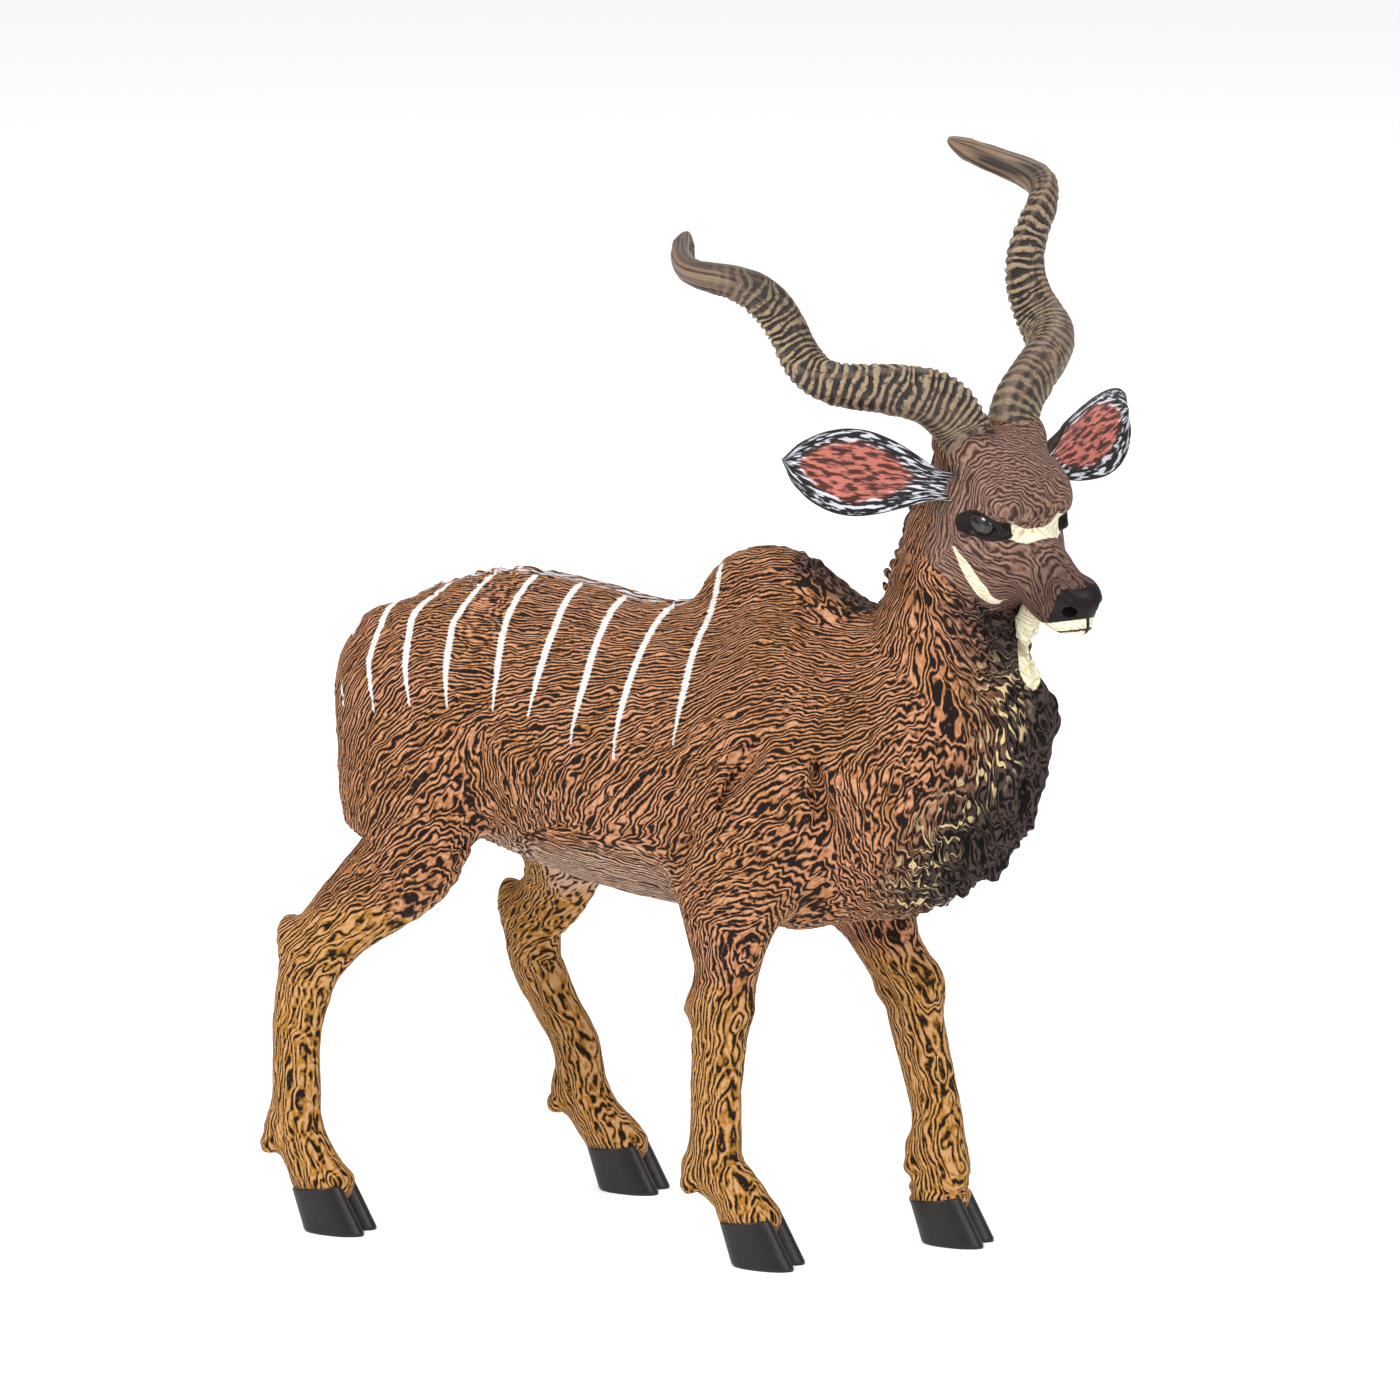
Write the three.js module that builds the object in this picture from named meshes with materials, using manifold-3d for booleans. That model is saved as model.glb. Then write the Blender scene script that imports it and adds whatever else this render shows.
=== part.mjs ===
// A hand-painted toy figure of a standing greater kudu bull, in millimetres.
// The animal faces +X with its left side on +Y, and its hooves stand on z = 0.
// The body is moulded in pieces that are glued together, each with a root that
// sits in a socket of its neighbour.
import * as THREE from 'three';
import { mergeVertices } from 'three/addons/utils/BufferGeometryUtils.js';
import Module from 'manifold-3d';

const wasm = await Module();
wasm.setup();

// Driving sizes.
const standHeight = 51.5;   // ground to belly
const trunkDepth = 43;      // belly to back
const trunkWidth = 34;
const wheelbase = 54;       // shoulder to hip
const rumpReach = 15;       // hip to the rear of the rump
const humpHeight = 8;       // withers above the back
const maneReach = 38.9;     // shoulder to the front of the mane
const foreTrack = 22.5;     // between the middles of the hooves
const hindTrack = 38.5;
const hoofWidth = 8.2;
const hoofLength = 9.6;
const cannonWidth = 5.8;
const cannonDepth = 7.4;
const neckWidth = 18;
const neckReach = 32;       // shoulder to the top of the head, forwards
const pollRise = 24.7;      // top of the head above the back
const faceLength = 27.5;
const faceWidth = 18.6;
const headTurn = -25;       // degrees, to the animal's right
const headNod = 48;         // degrees, nose down
const hornLength = 47;      // along the middle of its spiral
const hornDiameter = 8;
const hornSpacing = 10.6;   // between the middles of the horn bases
const earLength = 22.5;
const earWidth = 12.4;
const earThickness = 2;
const tailLength = 28;
const tailDiameter = 3.8;
const pegDiameter = 9;
const pegLength = 7;
const glueGap = 0.3;        // between glued pieces, all round
const overlap = 2;          // what runs into its own piece before the two are joined
const hornRoot = 4;         // depth of a horn in its socket
const earRoot = 2.4;

const degrees = Math.PI / 180;
const left = new THREE.Vector3(0, 1, 0);
const forward = new THREE.Vector3(1, 0, 0);

// Heights count from the ground: 0 the ground, 1 the belly, 2 the back.
const height = level => level <= 1 ? level * standHeight : standHeight + (level - 1) * trunkDepth;

// A closed body along a curve. Each station is [x, y, z, side, over, under]: the
// middle of a section and its half sizes to the sides and to either face. The
// rings of a cylinder are moved onto the curve through the stations, square to
// it or all facing one way.
function sweep(stations, { around = 20, along = 28, grow = 0, cup = 0, facing, sideOf } = {}) {
  const places = stations.map(([x, y, z]) => new THREE.Vector3(x, y, z));
  const halves = stations.map(([, , , side, over, under]) => new THREE.Vector3(side, over, under));
  const path = new THREE.CatmullRomCurve3(places, false, 'centripetal');
  const sizes = new THREE.CatmullRomCurve3(halves, false, 'centripetal');
  const geometry = new THREE.CylinderGeometry(1, 1, 1, around, along);
  const vertices = geometry.attributes.position;
  const vertex = new THREE.Vector3();
  for (let i = 0; i < vertices.count; i++) {
    vertex.fromBufferAttribute(vertices, i);
    const share = THREE.MathUtils.clamp(vertex.y + 0.5, 0, 1);
    const { x: across, z: through } = vertex;
    const tangent = facing ? facing.clone() : path.getTangent(share);
    const side = sideOf ? sideOf(tangent) : left.clone();
    side.addScaledVector(tangent, -side.dot(tangent)).normalize();
    const over = tangent.clone().cross(side);
    const half = sizes.getPoint(share).addScalar(grow);
    const deep = through < 0 ? half.y : half.z;
    vertex.copy(path.getPoint(share))
      .addScaledVector(side, across * half.x)
      .addScaledVector(over, -through * deep - cup * across * across);
    if (share === 0) vertex.addScaledVector(tangent, -grow);
    if (share === 1) vertex.addScaledVector(tangent, grow);
    vertices.setXYZ(i, vertex.x, vertex.y, vertex.z);
  }
  return geometry;
}

// A three.js geometry as a solid that can be joined and cut.
function solid(geometry) {
  const bare = geometry.clone().deleteAttribute('normal').deleteAttribute('uv');
  const merged = mergeVertices(bare, 1e-4);
  return new wasm.Manifold(new wasm.Mesh({
    numProp: 3,
    vertProperties: merged.attributes.position.array,
    triVerts: new Uint32Array(merged.index.array),
  }));
}

// A solid as a named three.js mesh with its own material.
function piece(name, body, colour, roughness) {
  const { vertProperties, triVerts } = body.getMesh();
  const geometry = new THREE.BufferGeometry();
  geometry.setAttribute('position', new THREE.BufferAttribute(vertProperties, 3));
  geometry.setIndex(new THREE.BufferAttribute(triVerts, 1));
  geometry.computeVertexNormals();
  const material = new THREE.MeshStandardMaterial({ color: colour, roughness, metalness: 0 });
  const mesh = new THREE.Mesh(geometry, material);
  mesh.name = name;
  return mesh;
}

// The trunk, hindmost section first. Each row is [x, top, bottom, share of the width].
const shoulderX = 12;
const hipX = shoulderX - wheelbase;
const rumpX = hipX - rumpReach;
const halfTrunk = trunkWidth / 2;
function trunkForm() {
  const hump = humpHeight / trunkDepth;
  const rows = [
    [rumpX + 0.3, 1.71, 1.52, 0.16],
    [rumpX + 1.4, 1.77, 1.36, 0.5],
    [rumpX + 5, 1.86, 1.24, 0.78],
    [rumpX + 10, 1.93, 1.19, 0.93],
    [hipX + 4, 2.02, 1.16, 0.98],
    [hipX + 14, 2.04, 1.15, 1],
    [-18, 2.01, 1.05, 1.03],
    [-10, 1.98, 1, 1.02],
    [-3, 1.99, 0.985, 1],
    [2, 2 + hump * 0.6, 0.965, 0.98],
    [8, 2 + hump, 0.93, 0.97],
    [14, 2 + hump * 0.84, 0.915, 0.93],
    [20, 2.03, 0.94, 0.88],
    [25, 1.97, 0.96, 0.8],
    [32, 1.9, 0.99, 0.7],
    [37, 1.71, 1.1, 0.48],
    [40, 1.57, 1.29, 0.18],
  ];
  const stations = rows.map(([x, top, bottom, share]) => {
    const deep = (height(top) - height(bottom)) / 2;
    return [x, 0, height(bottom) + deep, halfTrunk * share, deep, deep];
  });
  return sweep(stations, { around: 26, along: 30, facing: forward });
}

// The head's own frame: its origin is the top of the head, and it is turned to
// the side with the head but stays level.
const headAt = new THREE.Vector3(shoulderX + neckReach, -1, height(2) + pollRise);
const headFrame = new THREE.Group();
headFrame.name = 'head_frame';
headFrame.position.copy(headAt);
headFrame.rotation.z = headTurn * degrees;
headFrame.updateMatrixWorld(true);

// The skull and muzzle, back to front along the face, then nodded down.
function faceForm() {
  const wide = faceWidth / 2;
  const nose = faceLength;
  const form = sweep([
    [-4.5, 0, -8, 3, 3, 4],
    [-1, 0, -6.5, wide * 0.78, 6, 6],
    [nose * 0.16, 0, -5.5, wide * 0.94, 6.9, 7],
    [nose * 0.37, 0, -5.2, wide, 6.2, 7.2],
    [nose * 0.54, 0, -5.2, wide * 0.84, 5.4, 6.8],
    [nose * 0.7, 0, -4.6, wide * 0.66, 4.9, 5.8],
    [nose * 0.86, 0, -4, wide * 0.6, 4.3, 4.6],
    [nose * 0.96, 0, -4.1, wide * 0.54, 3.8, 4],
    [nose, 0, -4.2, wide * 0.36, 2.4, 2.6],
  ], { around: 20, along: 18 });
  return form.rotateY(headNod * degrees).applyMatrix4(headFrame.matrixWorld);
}

// The neck from inside the chest up to the head, nape over and throat under.
const neckHalf = neckWidth / 2;
const neckBase = headAt.x - neckWidth;
function neckForm() {
  return sweep([
    [neckBase - 4, 0, height(1.4), neckHalf * 1.3, 14, 14],
    [neckBase + 2, 0, height(1.62), neckHalf * 1.25, 12, 14],
    [neckBase + 7, 0, height(1.85), neckHalf * 1.08, 8.6, 12.5],
    [neckBase + 11, -0.5, height(2) + pollRise * 0.2, neckHalf * 0.96, 8.2, 9.5],
    [neckBase + 15, -1, height(2) + pollRise * 0.6, neckHalf * 0.88, 8.4, 6],
    [neckBase + 17.5, -1.5, height(2) + pollRise * 0.8, neckHalf * 0.7, 6, 4],
  ], { around: 22, along: 14 });
}

// The hanging mane from under the jaw to below the chest, front over.
const maneFront = 4.6;
const maneX = shoulderX + maneReach - maneFront;
function maneForm() {
  return sweep([
    [maneX - 2, -2.5, height(2) + 2, 3.4, 3, 6],
    [maneX - 1, -1.5, height(1.87), 4.6, 3.2, 9],
    [maneX + 0.5, -0.5, height(1.7), 5.2, 4.2, 15],
    [maneX, 0, height(1.5), 6, maneFront, 18],
    [maneX - 2.5, 0, height(1.28), 6, 4.2, 18],
    [maneX - 7, 0, height(1.14), 4.8, 3.2, 12],
    [maneX - 10, 0, height(1.09), 2.8, 2.2, 7],
  ], { around: 18, along: 16 });
}

// A front leg, hoof to shoulder. The four reaches say how far forward the hoof,
// fetlock, knee and elbow stand.
function foreleg(sign, { toe, fetlock, knee, elbow, shoulder }, grow = 0) {
  const outHoof = sign * foreTrack / 2;
  const outElbow = sign * (halfTrunk - 4.6);
  const wide = cannonWidth / 2;
  const deep = cannonDepth / 2;
  const hoof = hoofWidth / 2;
  const long = hoofLength / 2;
  const bone = share => THREE.MathUtils.lerp(fetlock, knee, share);
  return sweep([
    [toe + 0.9, outHoof, -overlap, hoof, long, long],
    [toe - 0.8, outHoof, height(0.05), hoof, long, long],
    [toe - 3.2, outHoof, height(0.12), hoof * 0.92, long * 0.92, long * 0.92],
    [(toe + fetlock) / 2 - 1, outHoof, height(0.18), wide * 1.15, deep * 1.22, deep * 1.15],
    [fetlock, outHoof, height(0.26), wide * 1.2, deep * 1.3, deep * 1.1],
    [bone(0.1), outHoof, height(0.36), wide * 1.02, deep * 1.04, deep],
    [bone(0.4), outHoof, height(0.5), wide, deep, deep],
    [bone(0.8), outHoof, height(0.63), wide * 1.1, deep * 1.1, deep * 1.16],
    [knee, outHoof, height(0.73), wide * 1.26, deep * 1.28, deep * 1.4],
    [(knee * 2 + elbow) / 3, outHoof, height(0.83), wide * 1.36, deep * 1.5, deep * 1.4],
    [(knee + elbow * 2) / 3, outElbow, height(0.93), wide * 1.6, deep * 1.9, deep * 1.8],
    [elbow, outElbow, height(1.03), wide * 1.9, deep * 2.5, deep * 2.3],
    [(elbow + shoulder) / 2, outElbow, height(1.25), 6, 10, 9.5],
    [shoulder, outElbow, height(1.52), 6, 10.5, 9.5],
    [shoulder + 1, outElbow - sign * 1.8, height(1.76), 5, 8.5, 7.5],
    [shoulder + 1, outElbow - sign * 4, height(1.92), 2.6, 4, 4],
  ], { grow, around: 16, along: 32 });
}

// A hind leg, hoof to haunch, with the reaches of hoof, fetlock, hock and stifle.
function hindleg(sign, { toe, fetlock, hock, stifle }, grow = 0) {
  const outHoof = sign * hindTrack / 2;
  const outThigh = sign * (halfTrunk - 5.6);
  const out = share => THREE.MathUtils.lerp(outHoof, outThigh, share);
  const wide = cannonWidth / 2;
  const deep = cannonDepth / 2;
  const hoof = hoofWidth / 2;
  const long = hoofLength / 2;
  const bone = share => THREE.MathUtils.lerp(fetlock, hock, share);
  const gaskin = share => THREE.MathUtils.lerp(hock, stifle, share);
  return sweep([
    [toe + 0.9, outHoof, -overlap, hoof, long, long],
    [toe - 0.8, outHoof, height(0.05), hoof, long, long],
    [toe - 3.2, outHoof, height(0.13), hoof * 0.9, long * 0.9, long * 0.9],
    [(toe + fetlock * 2) / 3, outHoof, height(0.2), wide * 1.14, deep * 1.25, deep * 1.1],
    [fetlock, outHoof, height(0.29), wide * 1.18, deep * 1.26, deep * 1.06],
    [bone(0.1), outHoof, height(0.4), wide, deep * 0.96, deep * 0.94],
    [bone(0.4), out(0.05), height(0.55), wide, deep * 0.94, deep * 0.94],
    [bone(0.75), out(0.12), height(0.67), wide * 1.06, deep * 1.04, deep * 1.1],
    [hock, out(0.18), height(0.78), wide * 1.2, deep * 1.3, deep * 1.4],
    [gaskin(0.28), out(0.3), height(0.87), wide * 1.36, deep * 1.75, deep * 1.2],
    [gaskin(0.6), out(0.48), height(0.96), wide * 1.6, deep * 2.1, deep * 1.5],
    [gaskin(0.95), out(0.66), height(1.09), wide * 2.05, deep * 2.6, deep * 2.1],
    [stifle - 1.5, out(0.86), height(1.28), 7, 12.4, 11.5],
    [stifle - 2.5, outThigh, height(1.5), 7, 12.4, 12.5],
    [stifle - 4, outThigh - sign * 1, height(1.7), 6, 11, 11],
    [stifle - 4.5, outThigh - sign * 2.6, height(1.86), 3.4, 7, 7],
  ], { grow, around: 18, along: 32 });
}

// A horn in its own frame: the middle of the spiral runs up +Z from the base.
// The coil's radius changes steadily from base to tip, passing through nothing,
// so the horn bends one way first and then winds the other way round.
const coilStart = -5.7;
const coilEnd = 8.5;
const coilTurns = 1.38;
const coilPhase = 144 * degrees;
const bow = 10;
const bowAngle = -119 * degrees;
function horn(sign, grow = 0) {
  const base = hornDiameter / 2;
  const stations = [];
  const steps = 12;
  for (let i = -1; i <= steps; i++) {
    const share = i < 0 ? -hornRoot / hornLength : i / steps;
    const angle = coilPhase + 2 * Math.PI * coilTurns * share;
    const radius = THREE.MathUtils.lerp(coilStart, coilEnd, share);
    const bulge = bow * 4 * share * (1 - share);
    const x = radius * Math.cos(angle) - coilStart * Math.cos(coilPhase) + bulge * Math.cos(bowAngle);
    const y = radius * Math.sin(angle) - coilStart * Math.sin(coilPhase) + bulge * Math.sin(bowAngle);
    const worn = Math.max(share, 0);
    const thick = base * (1 - 0.42 * worn - 0.18 * worn ** 3);
    stations.push([sign * x, y, hornLength * share, thick, thick, thick]);
  }
  const sideOf = tangent => new THREE.Vector3(0, 0, 1).cross(tangent);
  const upright = tangent => Math.hypot(tangent.x, tangent.y) > 0.05
    ? sideOf(tangent) : new THREE.Vector3(1, 0, 0);
  return sweep(stations, { grow, around: 12, along: 44, sideOf: upright });
}

// An ear in its own frame: +Z from root to tip, open towards +X.
function ear(grow = 0) {
  const wide = earWidth / 2;
  const thick = earThickness / 2;
  return sweep([
    [0, 0, -earRoot, 2.4, thick * 1.6, thick * 1.6],
    [0, 0, 0, 2.8, thick * 1.6, thick * 1.6],
    [-0.6, 0, earLength * 0.2, wide * 0.52, thick * 1.2, thick * 1.2],
    [-0.8, 0, earLength * 0.4, wide * 0.84, thick, thick],
    [-0.6, 0, earLength * 0.62, wide, thick, thick],
    [-0.2, 0, earLength * 0.82, wide * 0.84, thick, thick],
    [0.3, 0, earLength * 0.95, wide * 0.46, thick * 0.8, thick * 0.8],
    [0.5, 0, earLength, wide * 0.16, thick * 0.5, thick * 0.5],
  ], { grow, cup: 2.6, around: 20, along: 14 });
}

function tail(grow = 0) {
  const thick = tailDiameter / 2;
  const top = height(1.83);
  const x = rumpX + 2;
  return sweep([
    [x + 6, 0, top + 1, thick, thick, thick],
    [x + 2, -0.5, top + 0.5, thick * 1.05, thick, thick],
    [x - 0.6, -1, top - 3, thick, thick * 0.95, thick * 0.95],
    [x - 2.2, -1.8, top - tailLength * 0.35, thick * 0.85, thick * 0.8, thick * 0.8],
    [x - 2.4, -2.6, top - tailLength * 0.62, thick * 0.95, thick * 0.85, thick * 0.85],
    [x - 2.2, -3.2, top - tailLength * 0.86, thick * 1.1, thick * 0.95, thick * 0.95],
    [x - 1.9, -3.6, top - tailLength, thick * 0.3, thick * 0.3, thick * 0.3],
  ], { grow, around: 10, along: 16 });
}

// Where horns and ears stand in the head's frame. Each is turned about its own
// middle (twist), leaned up from the ground (rise) and splayed from straight back.
function seat(object, [x, y, z], { splay, rise, twist }) {
  const back = new THREE.Vector3(-Math.cos(splay * degrees) * Math.cos(rise * degrees),
    Math.sin(splay * degrees) * Math.cos(rise * degrees), Math.sin(rise * degrees));
  const side = new THREE.Vector3(0, 0, 1).cross(back).normalize();
  const third = back.clone().cross(side);
  object.position.set(x, y, z);
  object.quaternion.setFromRotationMatrix(new THREE.Matrix4().makeBasis(side, third, back));
  object.rotateZ(twist * degrees);
  headFrame.add(object);
  object.updateWorldMatrix(true, false);
  return object.matrixWorld;
}
const hornSeats = {
  left: [[-1.6, hornSpacing / 2 - 0.5, 1.8], { splay: 19.5, rise: 56.5, twist: -9 }],
  right: [[-0.8, -hornSpacing / 2 - 0.6, 2.6], { splay: -29, rise: 39, twist: -1 }],
};

// The ears stand just clear of the horn bases, so a thicker horn moves them down.
const earDrop = 0.8 * hornDiameter - 1.6;
const earSeats = {
  left: [[-1.3, faceWidth / 2 - 0.6, -earDrop - 0.2], { splay: 74, rise: 20, twist: 180 }],
  right: [[-1.3, -faceWidth / 2 + 0.6, -earDrop], { splay: -70, rise: 14, twist: 0 }],
};

const forelegs = {
  left: [1, { toe: 33.6, fetlock: 30.8, knee: 26.9, elbow: 17.5, shoulder: 13.5 }],
  right: [-1, { toe: 14, fetlock: 6, knee: 6.8, elbow: 8.8, shoulder: 12.5 }],
};
const hindlegs = {
  left: [1, { toe: hipX + 21, fetlock: hipX + 13, hock: hipX + 4, stifle: hipX + 11.5 }],
  right: [-1, { toe: hipX - 8.6, fetlock: hipX - 15.6, hock: hipX - 13.4, stifle: hipX + 2 }],
};

// Where the neck meets the trunk: a plane that leans back, with a round peg on
// the neck's side of it.
const seamX = 27.2;
const seamLean = -7.5 * degrees;
const seamAt = new THREE.Vector3(seamX, 0, height(1.5));
const ahead = 120;
const seamBlock = offset => solid(new THREE.BoxGeometry(ahead, ahead, 2 * ahead)
  .translate(ahead / 2 + offset, 0, 0).rotateY(seamLean).translate(...seamAt));
const peg = grow => solid(new THREE.CylinderGeometry(pegDiameter / 2 + grow,
  pegDiameter / 2 + grow, pegLength + overlap + grow, 20).rotateZ(Math.PI / 2)
  .translate((overlap - pegLength - grow) / 2, 0, 0).rotateY(seamLean).translate(...seamAt));

// The horns and ears, and the room they need in the head. A thin horn is cut out
// as well as a thick one, because their facets cross at the tight bends.
const headCutters = [];
for (const [name, sign] of [['left', 1], ['right', -1]]) {
  const hornMesh = piece(`horn_${name}`, solid(horn(sign)), '#6b5c4c', 0.6);
  const hornPlace = seat(hornMesh, ...hornSeats[name]);
  headCutters.push(solid(horn(sign, glueGap).applyMatrix4(hornPlace)));
  headCutters.push(solid(horn(sign, glueGap / 2).applyMatrix4(hornPlace)));
  const earMesh = piece(`ear_${name}`, solid(ear()), '#4a3a33', 0.6);
  const earPlace = seat(earMesh, ...earSeats[name]);
  headCutters.push(solid(ear(glueGap).applyMatrix4(earPlace)));
}

// The legs are moulded down past the ground and trimmed flat, so the soles lie on it.
const aboveGround = solid(new THREE.BoxGeometry(2 * ahead, 2 * ahead, 2 * ahead).translate(0, 0, ahead));
const legBodies = {};
const trunkCutters = [];
for (const [name, args] of Object.entries(forelegs)) {
  legBodies[`foreleg_${name}`] = solid(foreleg(...args)).intersect(aboveGround);
  trunkCutters.push(solid(foreleg(...args, glueGap)));
}
for (const [name, args] of Object.entries(hindlegs)) {
  legBodies[`hindleg_${name}`] = solid(hindleg(...args)).intersect(aboveGround);
  trunkCutters.push(solid(hindleg(...args, glueGap)));
}
const tailBody = solid(tail());
trunkCutters.push(solid(tail(glueGap)));

const torso = solid(trunkForm()).add(solid(neckForm())).add(solid(maneForm()));
let trunkBody = torso.subtract(seamBlock(0)).subtract(peg(glueGap));
for (const cutter of trunkCutters) trunkBody = trunkBody.subtract(cutter);
let neckBody = torso.intersect(seamBlock(glueGap)).add(solid(faceForm()));
for (const cutter of headCutters) neckBody = neckBody.subtract(cutter);
for (const cutter of trunkCutters) neckBody = neckBody.subtract(cutter);
neckBody = neckBody.add(peg(0));

const kudu = new THREE.Group();
kudu.name = 'kudu_bull';
kudu.add(piece('trunk', trunkBody, '#a0683a', 0.62));
kudu.add(piece('head_and_neck', neckBody, '#5a4336', 0.6));
for (const [name, body] of Object.entries(legBodies)) kudu.add(piece(name, body, '#b07a3c', 0.62));
kudu.add(piece('tail', tailBody, '#7a4f30', 0.62));
kudu.add(headFrame);

// The part's origin is the middle of its footprint, on the ground.
kudu.updateMatrixWorld(true);
const bounds = new THREE.Box3().setFromObject(kudu, true);
const middle = bounds.getCenter(new THREE.Vector3());
kudu.children.forEach(child => child.position.sub(new THREE.Vector3(middle.x, middle.y, bounds.min.z)));

export default kudu;
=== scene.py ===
import math
import bpy
import numpy as np
from mathutils import Matrix, Vector


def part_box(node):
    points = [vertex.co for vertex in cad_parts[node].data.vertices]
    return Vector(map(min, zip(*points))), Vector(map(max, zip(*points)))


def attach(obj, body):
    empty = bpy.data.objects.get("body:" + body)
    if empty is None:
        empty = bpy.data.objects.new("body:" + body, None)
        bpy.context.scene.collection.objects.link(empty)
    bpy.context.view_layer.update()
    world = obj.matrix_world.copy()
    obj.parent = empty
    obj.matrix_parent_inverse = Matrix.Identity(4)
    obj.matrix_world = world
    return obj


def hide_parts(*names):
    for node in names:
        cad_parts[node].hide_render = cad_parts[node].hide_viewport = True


# A moulded toy kudu bull. Shapes are worked out in millimetres in the modeller's
# frame: x forwards, y to the animal's left, z up, soles at 0 and the midline at y 0.
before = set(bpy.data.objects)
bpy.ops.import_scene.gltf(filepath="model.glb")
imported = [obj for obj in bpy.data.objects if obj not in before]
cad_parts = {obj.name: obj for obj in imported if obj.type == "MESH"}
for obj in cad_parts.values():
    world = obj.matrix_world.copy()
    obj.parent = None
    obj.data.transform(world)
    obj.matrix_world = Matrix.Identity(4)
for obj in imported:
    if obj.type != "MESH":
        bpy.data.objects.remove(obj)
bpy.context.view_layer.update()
print("frame loaded")

modeller = {
    "rumpEnd": -56.7,    # x of the trunk's rearmost point
    "grid": 0.33,
}
trunkLow, trunkHigh = (np.array(corner) * 1000 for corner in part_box("trunk"))
toFrame = np.array([trunkLow[0] - modeller["rumpEnd"], (trunkLow[1] + trunkHigh[1]) / 2, 0.0])


def metres(points):  # modeller's millimetres to the frame's metres
    return (np.asarray(points, float) + toFrame) * 0.001


camera = {"azimuth": 24, "elevation": 11, "distance": 1000, "lens": 180, "sensor": 36, "farthest": 20,
          "target": (0, -4, 80)}


def placeCamera(spec):  # a long lens to the animal's right and a little ahead, aimed at it
    turn, rise = math.radians(spec["azimuth"]), math.radians(spec["elevation"])
    away = Vector((math.sin(turn) * math.cos(rise), -math.cos(turn) * math.cos(rise), math.sin(rise)))
    target = Vector(metres(spec["target"]))
    data = bpy.data.cameras.new("camera")
    data.lens = spec["lens"]
    data.sensor_width = spec["sensor"]
    data.clip_end = spec["farthest"]
    made = bpy.data.objects.new("camera", data)
    made.location = target + away * spec["distance"] * 0.001
    made.rotation_euler = away.to_track_quat("Z", "Y").to_euler()
    bpy.context.collection.objects.link(made)
    bpy.context.scene.camera = made


placeCamera(camera)


def ramp(value, low, high):  # 0 below low, 1 above high, smooth between
    share = np.clip((value - low) / (high - low), 0, 1)
    return share * share * (3 - 2 * share)


def unit(vectors):  # each vector over its own length
    return vectors / (np.linalg.norm(vectors, axis=-1, keepdims=True) + 1e-12)


def smoothRows(rows, count):  # rows of numbers joined by a smooth curve, by distance along it
    rows = np.asarray(rows, float)
    stops = np.concatenate([[0], np.cumsum(np.linalg.norm(np.diff(rows[:, :3], axis=0), axis=1))])
    slopes = np.gradient(rows, stops, axis=0, edge_order=1)
    at = np.linspace(0, stops[-1], count)
    low = np.clip(np.searchsorted(stops, at, side="right") - 1, 0, len(stops) - 2)
    span = (stops[low + 1] - stops[low])[:, None]
    way = (at[:, None] - stops[low][:, None]) / span
    return ((2 * way**3 - 3 * way**2 + 1) * rows[low] + (way**3 - 2 * way**2 + way) * span * slopes[low]
            + (3 * way**2 - 2 * way**3) * rows[low + 1] + (way**3 - way**2) * span * slopes[low + 1])


specks = {"seed": 11, "size": 64, "evening": 0.34}
lattice = np.random.default_rng(specks["seed"]).standard_normal((specks["size"],) * 3)
for axis in range(3):  # what is left after the near average is taken off is even in size
    lattice = lattice - specks["evening"] * (np.roll(lattice, 1, axis) + np.roll(lattice, -1, axis)) / 2
lattice = (lattice / lattice.std()).astype(np.float32)


def speckle(points, size):  # random values on a 3-D lattice of that cell size, blended between
    spot = points / size
    base = np.floor(spot).astype(np.int64)
    share = (spot - base).astype(np.float32)
    share = share * share * (3 - 2 * share)
    total = 0
    for corner in range(8):
        step = np.array([corner & 1, corner >> 1 & 1, corner >> 2])
        weight = np.prod(np.where(step == 1, share, 1 - share), axis=-1)
        where = (base + step) & (specks["size"] - 1)
        total = total + weight * lattice[where[..., 0], where[..., 1], where[..., 2]]
    return total


# Every muscle is a field: below 0 inside, above 0 outside, in millimetres.


def sweepField(points, sweep):  # distance from a tube whose oval section changes along a curve
    spine, side, over, half, gap = (sweep[key] for key in ("spine", "side", "over", "half", "gap"))
    if sweep["facing"] is not None:
        spot = np.interp(points[:, 0], spine[:, 0], np.arange(len(spine)))
    else:
        nearest = np.argmax(points @ spine.T - 0.5 * (spine**2).sum(1), axis=1)
        ahead = ((points - spine[nearest]) * sweep["tangent"][nearest]).sum(1) / gap
        spot = np.clip(nearest + np.clip(ahead, -0.7, 0.7), 0, len(spine) - 1)
    low = np.minimum(spot.astype(int), len(spine) - 2)
    share = (spot - low)[:, None]
    mix = lambda rows: rows[low] * (1 - share) + rows[low + 1] * share
    away = points - mix(spine)
    sideways = (away * mix(side)).sum(1)
    upwards = (away * mix(over)).sum(1)
    sizes = mix(half)
    deep = np.where(upwards > 0, sizes[:, 1], sizes[:, 2])
    square = (sideways / sizes[:, 0]) ** 2 + (upwards / deep) ** 2
    past = (away * mix(sweep["tangent"])).sum(1) / (0.8 * np.minimum(sizes[:, 0], deep))
    ratio = np.sqrt(square + past**2) + 1e-9
    return np.linalg.norm(away, axis=1) * (1 - 1 / ratio)


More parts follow.
